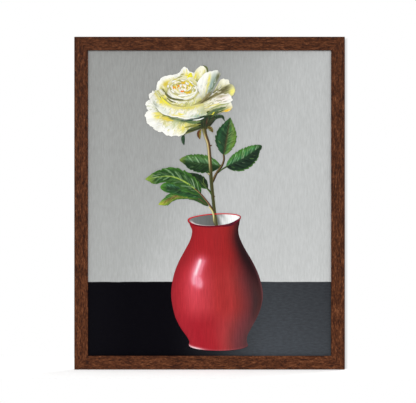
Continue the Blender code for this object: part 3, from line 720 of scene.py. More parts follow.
def vase():
    """The vase body: a turned outline laid back a little, so each level is an ellipse whose front dips
    below its ends. The front half is rounded up from the canvas, the back half lies flat, and a fan of
    faces about a point inside it closes each end."""
    level = np.linspace(FOOT_UP, MOUTH_UP, 190)[:, None]
    half, middle = through(VASE_UP, VASE_HALF, level), through(VASE_UP, VASE_MIDDLE, level)
    tip = FOOT_TIP + (MOUTH_TIP - FOOT_TIP) * (level - FOOT_UP) / (MOUTH_UP - FOOT_UP)
    turn = np.concatenate([np.linspace(0, math.pi, 150), np.linspace(math.pi, 2 * math.pi, 40)[1:-1]])
    side, front = np.cos(turn), np.maximum(np.sin(turn), 0)
    across = middle + half * side
    lean = MOUTH_LEAN * np.clip((level - NECK_UP) / (MOUTH_UP - NECK_UP), 0, 1) ** 2
    up = level + lean * half * side - tip * half * front
    canvas_lift = 0.06
    lift = canvas_lift + 1.1 * front ** 0.8 + 0 * level
    colours = vase_colours(side + 0 * level, up, across)
    colours = towards(colours, (255, 232, 236), 1.2 * blot(side, level, (-0.78, FOOT_UP), (0.3, 2.4)))
    colours = towards(colours, (176, 96, 104), 0.7 * blot(side, level, (0.1, FOOT_UP), (0.8, 1.5)))
    colours = towards(colours, (120, 74, 78), 0.6 * blot(side, level, (1.0, -150), (0.025, 70)))
    inside = level - 0.4 * tip * half
    foot, mouth = ([np.full((1, len(turn)), v) for v in (middle[k, 0], inside[k, 0], canvas_lift)]
                   for k in (0, -1))
    grids = [np.concatenate(parts) for parts in zip(foot, (across, up, lift), mouth)]
    colours = np.concatenate([colours[:1], colours, colours[-1:]])
    body = Daubs()
    quads = grid_quads(*grids[0].shape, closed=True)
    body.add(in_picture(*grids), quads, colours, np.stack(grids[:2], -1) / 10)
    body.piece("red_vase", VASE_PAINT)


def vase_mouth():
    """Inside of the mouth and its rim. The inside is an ellipse of rings about its middle, grey at the left
    and white at the right; the rim is a thin bead round it, bright red behind and dark red in front."""
    mouth = Daubs()
    middle, half, inner = VASE_MIDDLE[-1], VASE_HALF[-1], 0.97
    outward = np.linspace(0, 1, 16)
    out, turn = np.meshgrid(np.concatenate([outward, outward[::-1]]), np.linspace(0, 2 * math.pi, 97)[:-1],
                            indexing="ij")
    side, height = out * np.cos(turn), out * np.sin(turn)
    across = middle + half * inner * side
    deep = np.where(height > 0, MOUTH_BACK, MOUTH_TIP)
    up = MOUTH_UP + half * deep * inner * height + MOUTH_LEAN * (across - middle)
    wave = np.sin(19 * side + 3 * height) * np.exp(-((side - 0.25) / 0.2) ** 2)
    colours = shades(side, (-1, (122, 124, 123)), (-0.8, (112, 114, 113)), (-0.45, (104, 106, 105)),
                     (-0.1, (98, 99, 97)), (0.06, (88, 88, 84)), (0.2, (150, 152, 150)),
                     (0.32, (196, 198, 197)), (0.5, (226, 228, 227)), (0.8, (250, 251, 250)),
                     (1, (236, 238, 237)))
    lit_lip = (np.clip(-height * 3, 0, 1) * np.clip((out - 0.88) / 0.06, 0, 1)
               * np.clip((0.35 - side) * 5, 0, 1))
    colours = towards(colours - 26 * wave[..., None], (244, 226, 226), 0.9 * lit_lip)
    lift = 1.0 + 0.1 * out
    lift[len(outward):] -= 0.9
    mouth.add(in_picture(across, up, lift), grid_quads(*across.shape, closed=True), colours,
              np.stack([across, up], -1) / 10)

    def in_front(run):
        return np.sin(2 * math.pi * (run + 0.5))

    def rim_tones(side, run):
        front = np.clip(in_front(run) * 1.6 + 0.3, 0, 1)
        colours = shades(front, (0, (206, 38, 48)), (0.4, (160, 26, 38)), (1, (112, 18, 34)))
        dark_end = blot(run, 0, (0.93, 0), (0.1, 1)) + blot(run, 0, (0.0, 0), (0.05, 1))
        return towards(colours, (92, 22, 36), 0.5 * dark_end * front)

    def rim_width(run):
        return 0.75 + 0.6 * np.clip(in_front(run), 0, 1) + 0.6 * np.exp(-((run - 0.5) / 0.05) ** 2)

    overlap = 0.008
    turn = np.linspace(0, 2 * math.pi + overlap, 73)
    deep = np.where(np.sin(turn) > 0, MOUTH_BACK, MOUTH_TIP)
    ring = np.stack([middle + half * np.cos(turn),
                     MOUTH_UP + half * (deep * np.sin(turn) + MOUTH_LEAN * np.cos(turn))], 1)
    mouth.rod(ring, rim_width, 1.35, rim_tones, 0.35, count=121)
    mouth.rod([(19.3, -37.2), (36, -33.4), (49.0, -25.2)],
              lambda run: 0.7 + 1.5 * np.sin(math.pi * run) ** 0.8, 1.5,
              lambda side, run: shades(run, (0, (112, 18, 34)), (0.5, (78, 20, 38)), (1, (120, 24, 42))), 0.3)
    mouth.piece("vase_mouth", VASE_PAINT)


# ---------------------------------------------------------------- stem, thorns and leaf stalks

def stalk_tones(lit, middle, shade):
    """Colours across a stalk, lit at the left: side -1 is the left margin."""
    stops = (-1, middle), (-0.55, lit), (-0.1, middle), (0.35, shade), (1, tuple(0.75 * c for c in shade))
    return lambda side, run: shades(-side, *stops)


def stem_tones(side, run):
    """Cream and olive on the left above the leaf joint, then dark green, with a pale yellow foot."""
    above = shades(-side, (-1, (128, 116, 66)), (-0.65, (224, 214, 160)), (-0.3, (196, 176, 118)),
                   (0.05, (112, 82, 52)), (0.5, (68, 48, 32)), (1, (80, 74, 42)))
    below = shades(-side, (-1, (52, 62, 34)), (-0.5, (84, 92, 52)), (0.0, (66, 66, 38)),
                   (0.5, (58, 44, 30)), (1, (104, 122, 58)))
    share = np.clip((run - 0.34) / 0.13, 0, 1)[..., None]
    colours = above * (1 - share) + below * share
    colours = towards(colours, (70, 74, 40), 0.6 * np.exp(-((run - 0.02) / 0.05) ** 2))
    return towards(colours, (176, 168, 108), 0.6 * blot(side, run, (0.7, 0.93), (0.7, 0.06)))


def stem_width(run):
    """Swollen under the rose, with a slight waist near the vase."""
    return 2.75 + 1.2 * np.exp(-run / 0.05) - 0.25 * np.exp(-((run - 0.75) / 0.1) ** 2)


def sinking_tones(side, run):
    """A pale stalk that goes into the shade inside the vase."""
    pale = stalk_tones((240, 236, 176), (214, 206, 132), (150, 140, 84))
    return towards(pale(side, run), (92, 90, 64), np.clip((run - 0.55) / 0.4, 0, 1))


BROWN_STALK = stalk_tones((132, 116, 74), (94, 74, 50), (58, 44, 34))
GREEN_STALK = stalk_tones((104, 132, 66), (70, 92, 48), (44, 52, 30))
THORN = stalk_tones((120, 96, 60), (92, 66, 44), (62, 44, 32))

# Each stalk: its line from top to foot, its half width, lift, colours and rise, and where needed its count
# of steps.
STALKS = (
    ([(22.6, 79), (23.2, 70), (20.3, 61), (12.2, 49.5), (4.6, 34)], taper(1.5, 0.7), 0.45, BROWN_STALK, 0.4),
    ([(31, 61), (27, 58.6), (20.5, 54.6), (13.5, 48.6)], taper(1.4, -0.5), 0.42, GREEN_STALK, 0.35),
    ([(14, 61), (19, 60.4), (22, 61.5)], taper(1.3, 0), 0.4, GREEN_STALK, 0.3),
    ([(-12.5, 33), (-6, 26), (1, 18), (4.6, 12)], taper(1.1, 0.5), 0.45, GREEN_STALK, 0.35),
    ([(-9, 41), (-9.5, 34), (-5, 27.5)], taper(1.0, 0), 0.42, GREEN_STALK, 0.3),
    ([(-9.0, 120), (-6.2, 108), (-2.6, 97.8), (0, 77.2), (1.3, 59.4), (2.6, 38.8), (4.5, 18.2), (6.4, 0.3),
      (8.2, -17), (11.0, -36)], stem_width, 0.95, stem_tones, 0.75, 150),
    ([(-24, 23.5), (-17, 17.6), (-8, 7.6), (0.8, -4), (6.2, -13)], taper(0.9, 0.8), 1.35,
     stalk_tones((158, 128, 92), (116, 82, 58), (74, 50, 36)), 0.35),
    ([(-0.6, -5.6), (4.2, -12), (6.6, -19.5), (7.2, -28), (9.4, -35)], taper(1.2, 0.6), 1.5,
     sinking_tones, 0.3),
    ([(-0.8, 92.4), (2.2, 92.6), (4.0, 93.6)], taper(2.0, -1.7), 1.2, THORN, 0.35, 12),
    ([(2.2, 47), (-0.8, 46.4), (-3.4, 48.6)], taper(2.1, -1.8), 1.1,
     stalk_tones((214, 206, 140), (180, 168, 104), (128, 116, 70)), 0.35, 12),
    ([(6, 11), (7.6, 10.4), (8.6, 11.6)], taper(1.7, -1.4), 1.1, THORN, 0.3, 12),
)


def stem_and_stalks():
    """The main stem, the stalks of the leaves and three thorns, each a raised brush line."""
    wood = Daubs()
    for stalk in STALKS:
        wood.rod(*stalk)
    wood.piece("stem_and_leaf_stalks", STEM_PAINT)


# ---------------------------------------------------------------- leaves

def leaf(daubs, midrib, left, right, lift, left_tones, right_tones, vein, rib, teeth=9, widest=0.42,
         tooth=0.16, tip_tone=None, margin=None, seed=0.0, dabs=24,
         dab_tones=((150, 188, 130), (96, 146, 78)), round_end=0.7, belly=(0, 0), base_tone=None):
    """A toothed leaf blade. Its middle line is the midrib; its half width is v^p (1-v)^q, greatest at the
    widest point and never under 0.08 mm, times 1 plus a saw wave for the teeth near the margin. The side
    veins leave the midrib at a slant, each with its own place, width, length and strength, and short raised
    dabs follow them."""
    rows, columns = 132, 43
    path = drawn_line(midrib, rows)
    heading = headings(path)
    v, u = np.meshgrid(np.linspace(0, 1, rows), np.linspace(-1, 1, columns), indexing="ij")
    p = round_end
    q = p * (1 - widest) / widest
    shape = (np.maximum(v, 1e-6) / widest) ** p * (np.maximum(1 - v, 1e-6) / (1 - widest)) ** q
    shape = shape * (1 + np.where(u < 0, *belly) * np.exp(-((v - 0.88) / 0.1) ** 2))
    saw = np.mod(v * teeth + 0.16 * np.sin(9 * v + seed) + 0.35 * (u > 0), 1.0)
    size = 0.7 + 0.5 * np.sin(2.3 * np.floor(v * teeth) + seed)
    notch = 1 + tooth * size * (saw - 0.7) * np.abs(u) ** 7 * np.clip(v * 6, 0, 1)
    notch = notch + 0.03 * np.sin(7 * v + 2 * seed) * np.abs(u) ** 3
    least = 0.08
    wide = np.maximum(np.where(u < 0, left, right) * shape, least) * notch * u
    forward = 0.10 * np.abs(wide)
    across = path[:, :1] + heading[:, 1:] * wide + heading[:, :1] * forward
    up = path[:, 1:] - heading[:, :1] * wide + heading[:, 1:] * forward
    reach = np.abs(u)
    slant = v - 0.26 * reach * (1 - 0.5 * v)
    colours = np.where((u < 0)[..., None], shades(-u, *left_tones), shades(u, *right_tones))
    patchy = np.sin(11 * v + 7 * u + seed) * np.sin(17 * v - 9 * u + 2 * seed)
    colours = colours * (1 + 0.10 * patchy)[..., None]
    vein_tone, (left_share, right_share) = vein
    ridge = np.zeros_like(v)
    for k in range(2 * teeth):
        half, share = (u < 0, left_share) if k % 2 else (u >= 0, right_share)
        place = (k + 0.8 * math.sin(5.1 * k + seed)) / (2 * teeth) * 0.92
        width = 0.011 + 0.009 * math.sin(2.9 * k + 2 * seed) ** 2
        long = 0.55 + 0.4 * math.sin(3.7 * k + seed) ** 2
        off = slant - place + 0.02 * math.sin(4.3 * k) * np.sin(math.pi * reach)
        within = half * np.clip((long - reach) * 8, 0, 1)
        line = np.exp(-(off / width) ** 2) * within
        ridge = ridge + line
        colours = towards(colours, vein_tone, share * (0.25 + 0.75 * math.sin(1.9 * k + seed) ** 2) * line)
        colours = colours * (1 - 0.22 * np.exp(-((off + 2 * width) / width) ** 2) * within)[..., None]
    for tone, share, near in ((margin, 0.75, (reach - 0.88) / 0.1), (tip_tone, 0.85, (v - 0.82) / 0.16),
                              (base_tone, 0.85, (0.42 - v) / 0.16)):
        if tone is not None:
            colours = towards(colours, tone, share * np.clip(near, 0, 1))
    colours = towards(colours, rib, np.exp(-(u / (0.045 + 0.03 * (1 - v))) ** 2) * (1 - v ** 2))
    rise = 0.14 * np.clip(ridge, 0, 1) - 0.2 * np.exp(-(u / 0.07) ** 2) + 0.25 * (1 - (1 - reach) ** 2)
    length = path_length(path)
    flow = np.stack([v * length / 10 - reach * 0.8 + seed, u * max(left, right) / 10 + v * length / 30], -1)
    place, raised = np.stack([across, up], -1), lift + rise
    daubs.sheet(across, up, raised, colours, flow, 0.16)
    for _ in range(dabs):
        row, out = DICE.uniform(0.08, 0.78), DICE.uniform(0.12, 0.6)
        side = 1 if DICE.uniform() < 0.5 else -1
        if (right_share if side > 0 else left_share) < 0.25 and DICE.uniform() < 0.7:
            continue
        far = min(out + DICE.uniform(0.15, 0.4), 0.93)
        marks = []
        for t in (0, 0.5, 1):
            reach_here = out + (far - out) * t
            r = int(np.clip((row + 0.26 * (reach_here - out)) * (rows - 1), 0, rows - 1))
            marks.append((r, int((0.5 + 0.5 * side * reach_here) * (columns - 1))))
        daubs.touch(place, raised, colours, marks, dab_tones, (0.25, 0.6))


PALE_VEIN = (182, 210, 168)
FRESH = ((176, 206, 156), (120, 160, 84), (74, 122, 54))

# Leaves from the back to the front: one behind the stem, four at the left and two at the right. Each row:
# midrib, half widths left and right, lift, colours of both halves from the rib out, vein colour with its
# share on each half, colour of the rib, and the rest.
LEAVES = (
    ([(17.5, 59.6), (-14, 63.5), (-48.5, 69.8)], 15.2, 15.4, 0.25, ((0, (54, 84, 44)), (0.2, (34, 60, 32)),
     (0.85, (26, 48, 26)), (1, (52, 96, 34))), ((0, (44, 74, 42)), (0.35, (88, 130, 84)),
     (0.7, (70, 112, 54)), (1, (64, 106, 40))), (PALE_VEIN, (0.08, 0.6)), (40, 62, 32), dict(teeth=10,
     widest=0.46, tip_tone=(128, 142, 58), seed=0.4, dab_tones=FRESH, belly=(-0.3, 0))),
    ([(-3, 23.5), (-13, 35), (-38, 50)], 9.5, 8.0, 0.3, ((0, (36, 56, 32)), (0.7, (40, 70, 34)),
     (1, (66, 122, 38))), ((0, (30, 46, 30)), (0.8, (28, 46, 30)), (1, (40, 72, 34))), ((96, 140, 84),
     (0.15, 0.1)), (50, 66, 36), dict(teeth=7, widest=0.36, seed=2.2, dab_tones=((40, 70, 34), (58, 96, 44),
     (24, 44, 26)))),
    ([(-2.2, -4.6), (-22, 9.5), (-46, 13), (-82.2, -2.4)], 6.8, 9.5, 0.42, ((0, (118, 102, 58)),
     (0.3, (120, 122, 54)), (0.7, (98, 122, 48)), (1, (60, 96, 36))), ((0, (126, 104, 60)),
     (0.15, (96, 112, 54)), (0.5, (66, 116, 58)), (1, (56, 102, 42))), ((168, 182, 84), (0.3, 0.3)),
     (116, 84, 62), dict(teeth=8, widest=0.45, tip_tone=(192, 202, 70), margin=(66, 108, 36), seed=1.1,
     dab_tones=((184, 188, 84), (90, 136, 52), (124, 98, 62), (60, 100, 44)), round_end=0.6, belly=(1.0, 0),
     base_tone=(44, 70, 38))),
    ([(-12, 10), (-40, 19.5), (-79.2, 26)], 9.8, 13.5, 0.62, ((0, (36, 62, 36)), (0.5, (40, 76, 42)),
     (1, (50, 96, 42))), ((0, (34, 58, 36)), (0.45, (62, 108, 74)), (0.8, (50, 96, 46)), (1, (62, 116, 40))),
     ((150, 186, 150), (0.2, 0.35)), (36, 58, 34), dict(teeth=7, widest=0.52, tip_tone=(88, 142, 44),
     margin=(84, 138, 40), seed=3.0, dab_tones=((140, 180, 140), (84, 132, 50), (40, 74, 40)),
     round_end=0.6)),
    ([(-14.5, 14.5), (-34, 30.5), (-58, 42.0), (-103.8, 38.6)], 12.6, 16.6, 0.95, ((0, (120, 150, 62)),
     (0.14, (54, 92, 44)), (0.5, (40, 74, 38)), (1, (56, 96, 36))), ((0, (120, 150, 62)),
     (0.12, (44, 80, 42)), (0.5, (36, 68, 34)), (1, (58, 104, 36))), (PALE_VEIN, (0.45, 0.85)),
     (172, 196, 84), dict(teeth=11, widest=0.38, tip_tone=(164, 188, 70), margin=(74, 120, 40), seed=4.4,
     dabs=40, dab_tones=FRESH, round_end=0.56, belly=(0.9, 0.1))),
    ([(23, 77.5), (27, 100), (33.4, 138)], 18.5, 15.5, 0.55, ((0, (48, 66, 42)), (0.3, (38, 66, 44)),
     (0.7, (42, 84, 52)), (1, (28, 52, 30))), ((0, (72, 84, 50)), (0.3, (66, 110, 58)),
     (0.6, (104, 134, 66)), (1, (88, 122, 44))), ((158, 192, 120), (0.15, 0.55)), (70, 62, 40), dict(teeth=9,
     widest=0.4, tip_tone=(62, 96, 44), margin=(58, 98, 42), seed=5.3, dabs=30, dab_tones=((150, 180, 104),
     (122, 96, 58), (60, 112, 56)))),
    ([(27.2, 58.6), (50, 69), (84, 92.5)], 15.2, 17.5, 0.6, ((0, (44, 74, 42)), (0.3, (58, 116, 68)),
     (0.75, (74, 128, 62)), (1, (62, 110, 38))), ((0, (40, 64, 42)), (0.25, (26, 44, 32)),
     (0.85, (30, 50, 34)), (1, (76, 124, 40))), (PALE_VEIN, (0.85, 0.08)), (34, 56, 38), dict(teeth=11,
     widest=0.44, tip_tone=(40, 66, 38), margin=(70, 116, 40), seed=6.1, dabs=34, dab_tones=FRESH,
     round_end=0.6, belly=(0, -0.3))),
)

SEPALS = (
    ([(-42, 111), (-42.6, 102), (-41, 93)], 3.0, 3.0, 0.6, ((0, (52, 76, 56)), (1, (38, 58, 44))),
     ((0, (44, 62, 48)), (1, (60, 84, 62))), ((90, 120, 90), (0.2, 0.2)), (36, 50, 38), 0.2),
    ([(-14, 119), (-17, 112), (-15.5, 102.5)], 3.4, 3.4, 0.65, ((0, (134, 96, 44)), (1, (150, 132, 50))),
     ((0, (110, 62, 40)), (1, (86, 60, 36))), ((190, 170, 70), (0.3, 0.2)), (96, 54, 36), 1.2),
    ([(-3, 123), (2, 119), (5.5, 113.5)], 3.2, 3.0, 0.7, ((0, (96, 60, 38)), (1, (128, 116, 50))),
     ((0, (88, 46, 34)), (1, (130, 128, 60))), ((170, 160, 70), (0.3, 0.3)), (84, 44, 32), 2.2),
    ([(2, 131.5), (12, 138.6), (20, 139), (24.5, 131.5)], 3.4, 3.0, 0.7, ((0, (52, 70, 48)),
     (1, (40, 56, 40))), ((0, (46, 58, 44)), (1, (62, 84, 58))), ((96, 116, 84), (0.2, 0.2)), (40, 50, 38),
     3.2),
)


def leaves():
    """Seven toothed blades."""
    blades = Daubs()
    for *shape, rest in LEAVES:
        leaf(blades, *shape, **rest)
    blades.piece("rose_leaves", LEAF_PAINT)


def sepals():
    """Four narrow sepals under the rose: plain pointed blades without teeth."""
    blades = Daubs()
    for *shape, seed in SEPALS:
        leaf(blades, *shape, teeth=3, tooth=0.0, seed=seed)
    blades.piece("sepals", LEAF_PAINT)


# ---------------------------------------------------------------- the rose

WHITE = (252, 252, 244)
CREAM = (246, 243, 214)
LEMON = (240, 232, 130)
YELLOW = (238, 220, 60)
ORANGE = (246, 176, 40)
PALE_GREEN = (198, 206, 160)
OLIVE = (132, 132, 76)
MOSS = (84, 96, 58)
DARK_GREEN = (48, 62, 40)
SOFT = (WHITE, CREAM, LEMON)
GREENISH = (PALE_GREEN, CREAM, WHITE)


def petal(daubs, root, rim, lift, tones, spots=(), folds=(2.0, 0.10), sag=(0, 0), ruffle=(1.0, 2.5), edge=0.6,
          edge_tone=WHITE, sides=0.1, dabs=10, dab_tones=(WHITE, CREAM), seed=0.0):
    """A petal seen as a patch between two drawn lines: straight blends from the root line to the rim line,
    bowed by the sag times the sine of v, with uneven waves along the rim. Its colour runs from root to
    rim along the tones, darkened in long folds, lightened in a narrow turned edge, with soft spots, and
    short raised dabs of paint lie along it."""
    rows, columns = 34, 46
    v, u = np.meshgrid(np.linspace(0, 1, rows), np.linspace(0, 1, columns), indexing="ij")
    low, high = drawn_line(root, columns), drawn_line(rim, columns)
    reach = high - low
    depth = np.linalg.norm(reach, axis=-1).mean()
    reach = reach / np.maximum(np.linalg.norm(reach, axis=-1, keepdims=True), 1e-6)
    place = low + (high - low) * v[..., None] + np.array(sag) * np.sin(math.pi * v)[..., None]
    place = place + reach * (ruffle[0] * uneven(u, seed, ruffle[1]) * v ** 3)[..., None]
    colours = shades(v + 0.03 * uneven(u, seed + 1, 3), *tones)
    fold = 0.5 + 0.5 * np.cos(2 * math.pi * folds[0] * (u + 0.10 * np.sin(3 * v + seed)) + seed
                              + 0.8 * uneven(u, seed + 2, 1.3))
    colours = colours * (1 - folds[1] * fold * (1 - 0.5 * v))[..., None]
    colours = colours * (1 - sides * (2 * np.abs(u - 0.5)) ** 4 * (1 - 0.5 * v))[..., None]
    worn = 1 + 0.175 * uneven(u, seed + 3, 4)
    for at, size, colour, share in spots:
        colours = towards(colours, colour, share * worn * blot(u, v, at, size))
    turned = np.clip((v - 0.88) / 0.08, 0, 1)
    colours = towards(colours, edge_tone, edge * turned * np.clip(0.6 + 0.4 * uneven(u, seed + 4, 2), 0, 1))
    raised = lift[0] + (lift[1] - lift[0]) * v + 0.12 * turned
    flow = np.stack([u * path_length(high) / 10 + seed, v * depth / 10 + 3 * seed], -1)
    daubs.sheet(place[..., 0], place[..., 1], raised, colours, flow, 0.18)
    for _ in range(dabs):
        start = DICE.uniform(0.12, 0.7)
        long = min(DICE.uniform(0.2, 0.5) * 14 / max(depth, 8), 0.97 - start)
        column = int(DICE.uniform(0.08, 0.92) * (columns - 1))
        drift = int(DICE.integers(-2, 3))
        marks = [(int((start + long * t) * (rows - 1)), int(np.clip(column + drift * t, 0, columns - 1)))
                 for t in (0, 0.5, 1)]
        daubs.touch(place, raised, colours, marks, dab_tones, (0.4, 1.0))


def rose_heart(daubs):
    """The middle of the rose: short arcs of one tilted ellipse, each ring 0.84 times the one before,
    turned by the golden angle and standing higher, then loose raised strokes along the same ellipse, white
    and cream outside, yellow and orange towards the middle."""
    middle, flat, tilt = np.array([-44.0, 185.5]), 0.62, math.radians(-5)
    turn_axes = np.array([[math.cos(tilt), -math.sin(tilt)], [math.sin(tilt), math.cos(tilt)]])
    golden = math.pi * (3 - math.sqrt(5))
    rings, rings_reach, strokes_reach = 12, 27.5, 26.5

    def arc(reach, start, stop, count=11, wobble=0.0, phase=0.0):
        sweep = np.linspace(start, stop, count)
        grow = 1 + wobble * np.sin(3 * sweep + phase) + 0.5 * wobble * np.sin(7 * sweep + 2 * phase)
        ellipse = np.stack([np.cos(sweep), flat * np.sin(sweep)], 1)
        return middle + (reach * grow[:, None] * ellipse) @ turn_axes.T

    def blend(first, second, share):
        return tuple(np.array(first) * (1 - share) + np.array(second) * share)

    for k in range(rings):
        reach = rings_reach * 0.84 ** k
        warm = min(1.0, (k / rings) * 1.7)
        fold_tone = blend((196, 192, 128), (240, 176, 52), warm)
        body_tone = blend(CREAM, (248, 232, 120), warm)
        for part in range(2 if k > 1 else 1):
            start = (3.3 if k == 0 else 2.2) + golden * k + 3.3 * part
            stop = start + (3.5 if k == 0 else 2.6 + 0.7 * math.sin(4.1 * k + part))
            ends = np.sin(np.linspace(0, math.pi, 11))[:, None] ** 0.4
            root = arc(0.66 * reach, start, stop)
            rim = arc(reach, start, stop, wobble=0.07, phase=1.7 * k + part)
            spot_at = (0.3 + 0.4 * math.sin(2.1 * k) ** 2, 0.55)
            petal(daubs, root, root + (rim - root) * (0.25 + 0.75 * ends), (1.15 + 0.05 * k, 1.40 + 0.05 * k),
                  ((0, fold_tone), (0.42, fold_tone), (0.58, body_tone), (0.76, CREAM), (0.92, WHITE)),
                  spots=[(spot_at, (0.13, 0.2), YELLOW if k % 2 else ORANGE, 0.9 * warm),
                         ((0.75, 0.6), (0.1, 0.16), PALE_GREEN, 0.6 * (1 - warm))],
                  folds=(4, 0.06), ruffle=(0.02 * reach, 2.2), edge=0.9, sides=0.2, dabs=0,
                  seed=1.3 * k + part)

    def stroke(share, start, long, tone, wide, lift):
        line = arc(strokes_reach * share, start, start + long / (0.3 + share), 3)
        daubs.dab(line, tone, wide, lift, 0.4, 0.12, 0.18)

    outside = (WHITE, CREAM, WHITE, (226, 214, 96), (190, 188, 110), LEMON)
    for _ in range(64):
        share = DICE.uniform(0.05, 0.92)
        start, long = DICE.uniform(0, 2 * math.pi), DICE.uniform(0.3, 0.6)
        tone = outside[int(DICE.integers(len(outside)))]
        stroke(share, start, long, tone, DICE.uniform(0.6, 1.25), 2.02 - 0.5 * share)
    warm_spots = (((0.28, 2.0), 0.9, (246, 164, 44)), ((0.45, 3.2), 0.8, (246, 176, 56)),
                  ((0.34, 4.6), 1.0, (246, 150, 60)), ((0.62, 0.55), 0.7, (240, 212, 60)),
                  ((0.55, 5.3), 0.8, (238, 200, 60)), ((0.5, 1.3), 0.6, (242, 196, 50)))
    for (share, angle), spread, tone in warm_spots:
        for _ in range(4):
            start = angle + spread * DICE.uniform(-0.5, 0.5)
            near = share + DICE.uniform(-0.08, 0.08)
            long = DICE.uniform(0.14, 0.34)
            mixed = np.array(tone) + DICE.uniform(-14, 10, 3)
            stroke(near, start, long, mixed, DICE.uniform(0.8, 1.5), 2.12 - 0.4 * near)


